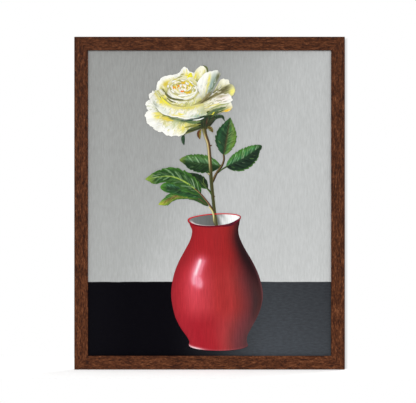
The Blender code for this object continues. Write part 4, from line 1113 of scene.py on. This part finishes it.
# Petals of each piece, from the back to the front. Each row: the root line, the rim line, the lift at both,
# the colours from root to rim, and the rest. A spot is ((u, v), size, colour, share).
ROSE = {
    "rose_back_petals": [
        ([(-82, 172), (-60, 166), (-30, 164), (-8, 166)], [(-84, 150), (-60, 142), (-30, 140), (-8, 146)],
         (0.9, 0.95), ((0, (150, 146, 92)), (0.3, (206, 200, 130)), (1, (160, 164, 110))), dict(edge=0,
         dabs=0, seed=0.1)),
        ([(-70, 172), (-56, 182), (-44, 190)], [(-85.5, 180), (-83, 196), (-69, 205), (-51, 207.5)],
         (0.5, 0.9), ((0, OLIVE), (0.3, (206, 204, 140)), (0.55, (236, 226, 150)), (0.72, CREAM),
         (0.86, WHITE)), dict(spots=[((0.45, 0.58), (0.22, 0.13), (214, 192, 70), 0.95),
         ((0.15, 0.6), (0.1, 0.12), (186, 186, 110), 0.8), ((0.75, 0.5), (0.12, 0.1), (196, 190, 96), 0.8)],
         ruffle=(0.6, 2.2), dabs=16, dab_tones=SOFT, seed=0.3)),
        ([(-58, 188), (-44, 194), (-26, 194)], [(-55, 204), (-47, 213), (-39.5, 219), (-32, 213),
         (-24, 207)], (0.55, 0.95), ((0, OLIVE), (0.3, (190, 190, 130)), (0.5, CREAM), (0.8, WHITE)),
         dict(spots=[((0.76, 0.46), (0.16, 0.22), (234, 212, 36), 1.3),
         ((0.22, 0.4), (0.14, 0.16), (176, 174, 96), 0.8), ((0.5, 0.35), (0.1, 0.1), (210, 206, 120), 0.8)],
         ruffle=(0.9, 2.0), dabs=12, dab_tones=SOFT, seed=2.0)),
        ([(-30, 190), (-20, 190), (-6, 196)], [(-28, 205), (-20, 216), (-13, 221), (-7, 220), (-3.4, 210)],
         (0.5, 0.9), ((0, MOSS), (0.25, (186, 184, 112)), (0.5, LEMON), (0.8, CREAM)),
         dict(spots=[((0.6, 0.62), (0.12, 0.3), (250, 248, 226), 0.9),
         ((1.0, 0.72), (0.11, 0.4), MOSS, 0.95), ((0.78, 0.42), (0.1, 0.2), (160, 162, 100), 0.7),
         ((0.25, 0.6), (0.1, 0.2), YELLOW, 0.7)], ruffle=(0.4, 2.0), dabs=10, dab_tones=SOFT, seed=3.3)),
        ([(2, 172), (14, 174), (28, 180)], [(13, 191), (19, 199), (28, 199.5), (33, 190), (34, 184)],
         (0.5, 0.8), ((0, MOSS), (0.3, (128, 128, 84)), (0.6, (220, 216, 168)), (0.85, CREAM)),
         dict(spots=[((0.6, 0.78), (0.25, 0.15), WHITE, 0.7),
         ((0.15, 0.7), (0.08, 0.2), (140, 144, 96), 0.7)], folds=(4, 0.15), ruffle=(0.7, 2.4), dabs=12,
         dab_tones=SOFT, seed=4.1)),
        ([(-6, 154), (-5, 147), (-3, 141)], [(22, 168), (35, 163), (36, 153), (31, 147.5), (22, 147)],
         (0.55, 0.85), ((0, DARK_GREEN), (0.25, (96, 112, 72)), (0.55, (206, 204, 140)), (0.85, CREAM)),
         dict(spots=[((0.72, 0.88), (0.14, 0.2), (240, 190, 44), 1.0), ((0.55, 0.5), (0.1, 0.3), MOSS, 0.7),
         ((0.25, 0.6), (0.16, 0.4), (236, 234, 200), 0.8), ((0.95, 0.5), (0.1, 0.5), (70, 84, 50), 0.9)],
         ruffle=(0.5, 2.2), dabs=12, dab_tones=SOFT, seed=5.6)),
        ([(-7, 135), (-11, 127), (-13, 120)], [(-40, 134), (-54, 121), (-45, 108.5)], (0.6, 0.8),
         ((0, DARK_GREEN), (0.18, (84, 92, 50)), (0.42, (188, 180, 80)), (0.7, LEMON), (1, CREAM)),
         dict(spots=[((0.95, 0.45), (0.14, 0.35), (84, 88, 48), 0.9),
         ((0.45, 0.55), (0.14, 0.3), (238, 222, 90), 0.8), ((0.1, 0.5), (0.12, 0.4), (206, 210, 160), 0.8)],
         ruffle=(0.4, 2), edge=0.3, dabs=16, dab_tones=(YELLOW, LEMON, OLIVE, CREAM), seed=6.2)),
        ([(-16, 120.5), (-8, 117.5), (-1, 121)], [(-22, 133), (-10, 143), (4, 142), (12, 136.5)],
         (0.7, 0.95), ((0, (92, 96, 54)), (0.25, (52, 58, 38)), (0.6, (48, 62, 42)), (1, (44, 62, 42))),
         dict(spots=[((0.6, 0.55), (0.05, 0.2), (116, 44, 42), 0.6),
         ((0.85, 0.7), (0.06, 0.3), (92, 60, 44), 0.5)], folds=(5, 0.25), ruffle=(0.6, 3), edge=0, dabs=14,
         dab_tones=(DARK_GREEN, (76, 58, 40), MOSS, (60, 84, 50)), seed=7.0)),
    ],
    "rose_side_petals": [
        ([(-19, 164), (-13, 158), (-6, 160)], [(-21, 192), (-13, 204), (0, 212), (12, 213), (18.5, 208.5)],
         (0.75, 1.25), ((0, (112, 104, 66)), (0.14, (170, 166, 112)), (0.3, (226, 226, 204)), (0.5, WHITE),
         (1, WHITE)), dict(spots=[((0.86, 0.55), (0.17, 0.36), (112, 130, 106), 1.0),
         ((0.78, 0.5), (0.06, 0.28), (150, 176, 172), 0.95),
         ((0.62, 0.6), (0.055, 0.24), (240, 224, 64), 1.0), ((0.95, 0.86), (0.06, 0.2), (92, 94, 62), 0.9),
         ((0.9, 0.12), (0.3, 0.22), (84, 80, 48), 1.0), ((0.5, 0.4), (0.1, 0.3), (240, 234, 196), 0.6)],
         folds=(3, 0.07), ruffle=(0.7, 2.5), sag=(2, 2), dabs=40,
         dab_tones=(WHITE, WHITE, CREAM, (214, 222, 212)), seed=0.9)),
        ([(0, 172), (-5, 165), (-9, 158)], [(20, 187), (34, 191.5), (40.5, 185), (40, 176), (33, 170)],
         (0.9, 1.35), ((0, (96, 90, 56)), (0.3, (140, 132, 88)), (0.6, (120, 112, 76)),
         (0.8, (168, 164, 122)), (0.93, (206, 204, 164))),
         dict(spots=[((0.1, 0.35), (0.06, 0.5), (250, 248, 236), 1.0),
         ((0.36, 0.72), (0.13, 0.2), (92, 88, 58), 0.9), ((0.75, 0.45), (0.1, 0.4), (232, 228, 202), 0.9),
         ((0.58, 0.3), (0.06, 0.25), (244, 240, 214), 0.8),
         ((0.68, 0.95), (0.16, 0.14), (244, 238, 120), 1.2)], folds=(3, 0.12), ruffle=(0.5, 2), edge=0.5,
         edge_tone=(226, 222, 170), dabs=34, dab_tones=(WHITE, OLIVE, MOSS, CREAM, (176, 172, 120)),
         seed=1.9)),
    ],
    "rose_heart": [
        ([(-68, 176), (-58, 168), (-43, 165), (-28, 168), (-19, 178)], [(-67, 193), (-57, 201), (-43, 204),
         (-29, 202), (-19, 194)], (0.98, 1.02), ((0, WHITE), (0.2, CREAM), (0.5, (206, 200, 136)),
         (0.8, (226, 220, 150)), (1, CREAM)), dict(folds=(5, 0.1), edge=0, ruffle=(0.3, 2), dabs=0,
         seed=0.5)),
    ],
    "rose_front_petals": [
        ([(-75, 184), (-66, 173), (-48, 166.5), (-30, 168), (-17.5, 180)], [(-85, 181), (-72, 166.5),
         (-53, 157.5), (-32, 156), (-12, 166)], (1.5, 1.7), ((0, (104, 104, 58)), (0.1, (124, 124, 74)),
         (0.22, (214, 210, 160)), (0.4, WHITE), (0.62, CREAM), (0.85, (214, 212, 150)),
         (1, (206, 200, 120))), dict(spots=[((0.75, 0.75), (0.16, 0.3), (196, 198, 120), 0.9),
         ((0.2, 0.6), (0.06, 0.3), YELLOW, 0.7), ((0.5, 0.85), (0.2, 0.14), (222, 214, 120), 0.7),
         ((0.85, 0.04), (0.2, 0.12), (214, 208, 130), 1.1)], folds=(6, 0.09), ruffle=(0.5, 2.8), edge=0.0,
         dabs=40, dab_tones=(WHITE, CREAM, LEMON, (168, 166, 96), WHITE), seed=1.2)),
        ([(-87, 179), (-75, 165.5), (-57, 156.5), (-38, 155), (-22, 158), (-7, 162)], [(-96, 168),
         (-87, 153.5), (-73, 143), (-52, 137), (-28, 136), (-3, 142)], (1.65, 1.9), ((0, (236, 230, 170)),
         (0.14, (232, 222, 130)), (0.34, CREAM), (0.55, WHITE), (0.8, (240, 240, 224)), (1, WHITE)),
         dict(spots=[((0.2, 0.25), (0.055, 0.22), YELLOW, 1.0),
         ((0.5, 0.82), (0.1, 0.06), (242, 220, 80), 0.9), ((0.68, 0.14), (0.14, 0.14), (212, 204, 96), 0.9),
         ((0.97, 0.6), (0.08, 0.5), (216, 214, 150), 0.9), ((0.13, 0.85), (0.05, 0.2), (140, 150, 126), 0.8),
         ((0.84, 0.9), (0.12, 0.12), (150, 178, 158), 0.8), ((0.3, 0.75), (0.1, 0.2), (226, 232, 220), 0.7),
         ((0.6, 0.4), (0.12, 0.2), (250, 240, 226), 0.6),
         ((0.95, 0.62), (0.07, 0.35), (170, 178, 140), 0.8)], folds=(7, 0.05), ruffle=(0.7, 2.8), dabs=70,
         dab_tones=(WHITE, CREAM, LEMON, PALE_GREEN, (206, 214, 204), WHITE), seed=2.2)),
        ([(-82, 171), (-80, 162), (-77, 154)], [(-91, 181.5), (-97.5, 173), (-95, 164), (-88, 157)],
         (1.1, 1.5), ((0, PALE_GREEN), (0.35, (236, 236, 210)), (0.6, WHITE)),
         dict(spots=[((0.6, 0.3), (0.2, 0.2), LEMON, 0.5)], ruffle=(0.6, 2.2), dabs=12, dab_tones=GREENISH,
         seed=3.2)),
        ([(-86, 162), (-82, 153), (-80, 147)], [(-98, 167), (-103, 159), (-99, 150), (-93, 146)], (1.0, 1.4),
         ((0, (140, 146, 104)), (0.35, (232, 234, 214)), (0.6, WHITE)), dict(ruffle=(0.6, 2.2), dabs=10,
         dab_tones=GREENISH, seed=4.4)),
        ([(-10, 162), (-9, 154), (-8, 147)], [(20, 176), (33, 174), (37, 168), (27, 157)], (1.95, 2.1),
         ((0, (230, 226, 180)), (0.25, CREAM), (0.6, (250, 246, 236)), (1, WHITE)),
         dict(spots=[((0.88, 0.55), (0.1, 0.4), (158, 168, 108), 0.9),
         ((0.2, 0.8), (0.14, 0.2), (156, 140, 100), 0.8), ((0.62, 0.3), (0.05, 0.25), (236, 220, 90), 0.8),
         ((0.45, 0.7), (0.1, 0.3), (252, 238, 230), 0.9), ((0.03, 0.4), (0.05, 0.4), (170, 160, 110), 0.8)],
         folds=(5, 0.16), ruffle=(0.8, 2.6), dabs=44,
         dab_tones=(WHITE, CREAM, OLIVE, LEMON, (176, 172, 120), WHITE), seed=2.7)),
        ([(-12, 148), (-9, 142), (-5, 138)], [(4, 159), (20, 161), (28, 154), (16, 145)], (1.75, 1.9),
         ((0, DARK_GREEN), (0.3, (66, 84, 50)), (0.65, (160, 168, 100)), (1, (228, 226, 168))),
         dict(spots=[((0.35, 0.45), (0.06, 0.3), (236, 222, 60), 1.0),
         ((0.8, 0.6), (0.14, 0.4), (56, 70, 44), 0.9), ((0.15, 0.7), (0.1, 0.3), (232, 230, 196), 0.8)],
         folds=(4, 0.15), ruffle=(0.6, 2.4), edge=0.3, dabs=34,
         dab_tones=(MOSS, DARK_GREEN, LEMON, (220, 214, 110), CREAM), seed=3.5)),
    ],
    "rose_outer_petals": [
        ([(-82, 153), (-72, 142), (-58, 135)], [(-96, 152), (-104, 141), (-99, 128), (-88, 118.5)],
         (0.8, 1.25), ((0, (122, 128, 84)), (0.18, (206, 206, 150)), (0.42, CREAM), (0.65, WHITE)),
         dict(spots=[((0.45, 0.32), (0.2, 0.2), (238, 220, 74), 1.0),
         ((0.9, 0.3), (0.14, 0.2), (236, 222, 110), 0.7)], ruffle=(0.8, 2.2), dabs=24, dab_tones=GREENISH,
         seed=5.0)),
        ([(-74, 143), (-56, 136), (-38, 133), (-12, 136)], [(-91, 120), (-78, 113.5), (-60, 107.5),
         (-44, 109.5), (-30, 119)], (0.95, 1.2), ((0, (84, 108, 78)), (0.12, (160, 170, 120)),
         (0.36, (238, 234, 196)), (0.62, WHITE)),
         dict(spots=[((0.12, 0.18), (0.12, 0.14), (240, 214, 70), 1.0),
         ((0.62, 0.45), (0.1, 0.3), (236, 222, 92), 0.9), ((0.92, 0.4), (0.14, 0.5), (112, 118, 62), 0.95),
         ((0.38, 0.3), (0.08, 0.2), (196, 204, 156), 0.8), ((0.78, 0.6), (0.08, 0.3), (204, 196, 90), 0.8)],
         folds=(5, 0.09), ruffle=(1.0, 3.2), dabs=74,
         dab_tones=(WHITE, CREAM, LEMON, PALE_GREEN, (190, 188, 96), WHITE), seed=6.0)),
    ],
}

# Lines of shade and of light between the petals: a drawn line, thin and wide for its half width, its lift,
# its colour, and its rise.
YELLOW_STROKES = [
    ([(-36.5 + k, 201.5 + 1.6 * k), (-32 + 0.5 * k, 204 + 1.5 * k), (-27 - 0.5 * k, 203.5 + 1.5 * k)],
     0.5, 0.7, 1.3, tone, 0.2)
    for k, tone in enumerate(((226, 212, 36), (238, 226, 60), (206, 196, 66), (232, 216, 44)))
]
SHADE_LINES = (
    ([(-47, 132.2), (-34, 132.8), (-20, 135), (-7, 139)], 0.3, 1.2, 1.5, (52, 76, 58), 0.1),
    ([(-78, 138), (-69, 134.4), (-58, 132.4)], 0.4, 1.2, 1.45, (206, 186, 84), 0.1),
    ([(-79.5, 172), (-71, 163), (-62, 156.6)], 0.4, 1.0, 2.0, (232, 216, 66), 0.2),
    ([(-52, 143.6), (-46, 142.8), (-40, 143.4)], 0.3, 0.6, 2.0, (236, 214, 70), 0.15),
    ([(4, 142), (6.5, 145), (8.5, 148)], 0.35, 0.5, 2.0, (222, 210, 70), 0.2),
    ([(-41, 110), (-34, 116), (-20, 119.5), (-12, 122)], 0.4, 1.3, 1.25, (50, 58, 36), 0.15),
    ([(-27, 133.4), (-16, 134.6), (-9, 137.2)], 0.3, 0.6, 1.62, (244, 246, 238), 0.2),
    ([(-72, 176), (-65, 170), (-54, 166.8), (-42, 166.2)], 0.4, 1.2, 1.75, (90, 92, 50), 0.1),
    ([(-14, 131), (-26, 129.5), (-38, 130.5)], 0.4, 1.6, 1.35, (92, 114, 72), 0.15),
    ([(-14, 127), (-27, 124.5), (-40, 121.5)], 0.4, 1.3, 1.38, (124, 126, 62), 0.15),
    ([(-14, 123.5), (-24, 120.8), (-36, 117)], 0.4, 1.2, 1.36, (68, 80, 46), 0.15),
    ([(2, 137), (12, 145), (22, 149)], 0.4, 0.9, 2.15, (72, 88, 52), 0.15),
    ([(0, 150), (14, 157), (30, 160)], 0.3, 0.8, 2.3, (150, 156, 96), 0.15),
    ([(-69, 170), (-62, 164), (-54, 161.5)], 0.3, 0.9, 1.9, (104, 104, 56), 0.1),
    ([(-15.5, 160), (-9, 165.5), (-3.5, 172), (0.5, 178)], 0.8, 2.3, 1.62, (128, 120, 84), 0.1),
    ([(-13.5, 160.5), (-7.5, 165), (-2.5, 170.5)], 0.4, 1.1, 1.8, (92, 86, 54), 0.1),
    ([(-6.5, 140.5), (5.5, 147.5), (18, 151.8), (27, 154.8)], 0.5, 1.5, 2.05, (84, 102, 70), 0.15),
    ([(-10, 221.3), (-4.8, 217.5), (-3.0, 210)], 0.5, 1.0, 1.0, (92, 100, 56), 0.2),
    ([(-72, 141), (-62, 138.2), (-50, 135.2), (-42, 133)], 0.8, 1.4, 0.3, (136, 148, 116), 0.1),
    ([(-88, 181), (-83.5, 176), (-77, 169)], 1.2, 1.6, 0.3, (206, 206, 160), 0.1),
    *YELLOW_STROKES,
    ([(-53, 200.6), (-48.5, 202.6), (-43.5, 203.6)], 0.3, 0.6, 1.3, (140, 140, 84), 0.15),
    ([(-47, 205.5), (-44, 207.4), (-40, 207.6)], 0.3, 0.5, 1.3, (150, 146, 80), 0.15),
)


def rose_head():
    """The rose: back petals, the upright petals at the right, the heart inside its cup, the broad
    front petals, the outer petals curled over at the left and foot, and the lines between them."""
    for name, petals in ROSE.items():
        daubs = Daubs()
        for root, rim, lift, tones, rest in petals:
            petal(daubs, root, rim, lift, tones, **rest)
        if name == "rose_heart":
            rose_heart(daubs)
        daubs.piece(name, PETAL_PAINT)
    lines = Daubs()
    for line, thin, wide, lift, tone, rise in SHADE_LINES:
        pale = tuple(min(255, 1.25 * c) for c in tone)
        lines.rod(line, lens(thin, wide), lift,
                  lambda side, run: shades(np.abs(side), (0, tone), (1, pale)), rise)
    lines.piece("rose_shade_lines", PETAL_PAINT)


vase()
vase_mouth()
leaves()
stem_and_stalks()
sepals()
rose_head()


# ---------------------------------------------------------------- small parts of the frame

def mitre_glue():
    """Dark glue in the four mitre joints: thin upright slabs on the diagonals, just behind the faces."""
    glue = Daubs()
    half = 0.22 * math.sqrt(0.5)
    across, deep = np.meshgrid(np.linspace(0.9, 21.0, 12), np.array([0.35, 3.0, 4.2]), indexing="ij")
    for side, level in CORNERS:
        faces = [np.stack([MIDDLE_X + side * (HALF_WIDTH - (across + shift) * MM), BOX_FRONT + deep * MM,
                           MIDDLE_Z + level * (HALF_HEIGHT - (across - shift) * MM)], -1)
                 for shift in (-half, half)]
        glue.add(np.stack(faces), slab_quads(*across.shape), (52, 27, 16))
    glue.piece("mitre_glue_lines", RAIL_ACROSS, "frame_wood")


def canvas_staples():
    """Staples through the turned-over cloth: a six-sided wire carried along a small bridge, in, across and
    out again, repeated round the four sides with a slight wander in place and angle."""
    bridge = np.array([(-5.8, -1.2), (-5.8, 0.2), (-5.3, 0.62), (0, 0.68), (5.3, 0.62), (5.8, 0.2),
                       (5.8, -1.2)])
    thick, broad = 0.42, 0.62
    wire = np.linspace(0, 2 * math.pi, 7)[:-1]
    heading = headings(bridge)
    along = bridge[:, :1] - thick * heading[:, 1:] * np.cos(wire)
    height = bridge[:, 1:] + thick * heading[:, :1] * np.cos(wire)
    aside = np.broadcast_to(broad * np.sin(wire), along.shape)
    along, aside, height = (np.concatenate([np.full((1, 6), g[0].mean()), g, np.full((1, 6), g[-1].mean())])
                            for g in (along, aside, height))
    quads = grid_quads(*along.shape, closed=True)
    inset = 12.0
    reach_x, reach_z = CANVAS_HALF_WIDTH / MM - inset, CANVAS_HALF_HEIGHT / MM - inset
    places = [(x, side * reach_z, 0) for side in (-1, 1) for x in (-158, -118, -60, -20, 22, 61, 120, 157)]
    places += [(side * reach_x, z, 1) for side in (-1, 1)
               for z in (-205, -168, -92, -48, -4, 40, 88, 166, 207)]
    wires = Daubs()
    for k, (x, z, quarter) in enumerate(places):
        turn = quarter * math.pi / 2 + 0.22 * math.sin(3.1 * k)
        shift = 1.5 * math.sin(2.3 * k + 1)
        middle_x, middle_z = (x + shift, z) if quarter else (x, z + shift)
        across = middle_x + along * math.cos(turn) - aside * math.sin(turn)
        up = middle_z + along * math.sin(turn) + aside * math.cos(turn)
        wires.add(at_the_back(across, up, height), quads, (190, 192, 196))
    wires.piece("canvas_staples", ZINC_STEEL, "steel")


def corner_folds():
    """The folded cloth at the four corners of the back: a flap between two straight lines that meet at the
    inner corner, bulged by the product of two half sines and creased along the diagonal."""
    flaps = Daubs()
    v, u = np.meshgrid(np.linspace(0, 1, 14), np.linspace(0, 1, 14), indexing="ij")
    crease_in = 2.2 + v * 18.8
    along = crease_in + (31 - v * 6.5 - crease_in) * u
    inward = crease_in + (2.4 + v * 18.2 - crease_in) * u
    bulge = 0.10 + 0.45 * np.sin(math.pi * u) ** 0.7 * np.sin(math.pi * np.clip(v, 0.02, 0.98)) ** 0.5
    for side, level in CORNERS:
        across = side * (CANVAS_HALF_WIDTH / MM - along)
        up = level * (CANVAS_HALF_HEIGHT / MM - inward)
        points = np.stack([at_the_back(across, up, height) for height in (bulge + 0.5, 0 * bulge + 0.04)])
        flaps.add(points, slab_quads(*v.shape), (232, 229, 220))
    flaps.piece("canvas_corner_folds", PRIMED_CLOTH)


mitre_glue()
canvas_staples()
corner_folds()


# ---------------------------------------------------------------- studio

def stage_plane(name, corners, finish):
    """A one-faced stage piece."""
    mesh = bpy.data.meshes.new(name)
    mesh.from_pydata(corners, [], [(0, 1, 2, 3)])
    mesh.materials.append(finish.material)
    plane = in_scene(name, mesh)
    return plane


def soft_light(name, place, power):
    """A round area light that faces the middle of the picture."""
    data = bpy.data.lights.new(name, "AREA")
    data.shape, data.size, data.energy = "DISK", 1.5, power
    light = in_scene(name, data)
    light.location = place
    aim = np.array([MIDDLE_X, 0, MIDDLE_Z]) - np.array(place)
    pitch = math.atan2(aim[2], math.hypot(aim[0], aim[1]))
    light.rotation_euler = (math.pi / 2 + pitch, 0, math.atan2(aim[1], aim[0]) - math.pi / 2)


def studio():
    """Pale floor under the picture, a white surround, a soft shade on the wall beside the frame, a large
    soft light from the upper left, a weaker one from the right, one behind, and a long-lens camera square
    to the picture."""
    scene = bpy.context.scene
    scene.view_settings.view_transform = "Standard"
    white, black = (1, 1, 1, 1), (0, 0, 0, 1)
    world = bpy.data.worlds.new("white surround")
    scene.world = world
    world.use_nodes = True
    nodes, links = world.node_tree.nodes, world.node_tree.links
    pick = nodes.new("ShaderNodeMixShader")
    links.new(nodes.new("ShaderNodeLightPath").outputs["Is Camera Ray"], pick.inputs["Fac"])
    lit, seen = nodes["Background"], nodes.new("ShaderNodeBackground")
    for k, (background, strength) in enumerate(((lit, 0.40), (seen, 1.0))):
        background.inputs["Color"].default_value = white
        background.inputs["Strength"].default_value = strength
        links.new(background.outputs["Background"], pick.inputs[k + 1])
    links.new(pick.outputs["Shader"], nodes["World Output"].inputs["Surface"])

    low = BOX_FOOT - 0.5 * MM
    f = Finish("pale floor", roughness=0.7, specular=0.1)
    colour = f.ramp(f.noise(f.place, scale=30, detail=2), (0.3, (246, 246, 245)), (0.7, (250, 250, 250)))
    f.set_shader({"Base Color": colour, "Emission Color": white, "Emission Strength": 0.42})
    stage_plane("studio_floor", [(-0.6, -0.32, low), (0.6, -0.32, low), (0.6, 0.45, low), (-0.6, 0.45, low)],
                f)

    soft = 6.5 * MM
    right, behind = BOX_RIGHT + soft, BOX_BACK + 0.5 * MM
    f = Finish("white wall in soft shade", roughness=1.0, specular=0.0)
    x, _, z = f.axes()
    inside = f.maths("MINIMUM", f.maths("SUBTRACT", right, x), f.maths("SUBTRACT", BOX_TOP, z))
    from_behind = f.node("NewGeometry", "Backfacing", {})
    f.set_shader({"Base Color": black, "Emission Color": white,
                  "Emission Strength": f.span(inside, 0, soft, 1.0, 0.5),
                  "Alpha": f.maths("SUBTRACT", 1.0, from_behind)})
    wall_shadow = stage_plane("wall_shadow", [(MIDDLE_X, behind, low), (right, behind, low),
                                              (right, behind, BOX_TOP), (MIDDLE_X, behind, BOX_TOP)], f)
    for ray_kind in ("visible_diffuse", "visible_glossy", "visible_transmission", "visible_shadow"):
        setattr(wall_shadow, ray_kind, False)

    soft_light("key_light", (-0.7, -3.2, 0.75), 52)
    soft_light("fill_light", (1.1, -2.8, 0.45), 21)
    soft_light("back_light", (0.9, 2.2, 1.2), 40)

    distance, shown_width, sensor = 6.0, 0.6692, 36
    data = bpy.data.cameras.new("camera")
    data.sensor_width = sensor
    data.lens = sensor * distance / shown_width
    data.clip_end = 100
    camera = in_scene("camera", data)
    camera.location = (MIDDLE_X - 2.5 * MM, CANVAS_FRONT - distance, MIDDLE_Z + 2.6 * MM)
    camera.rotation_euler = (math.pi / 2, 0, 0)
    scene.camera = camera


studio()
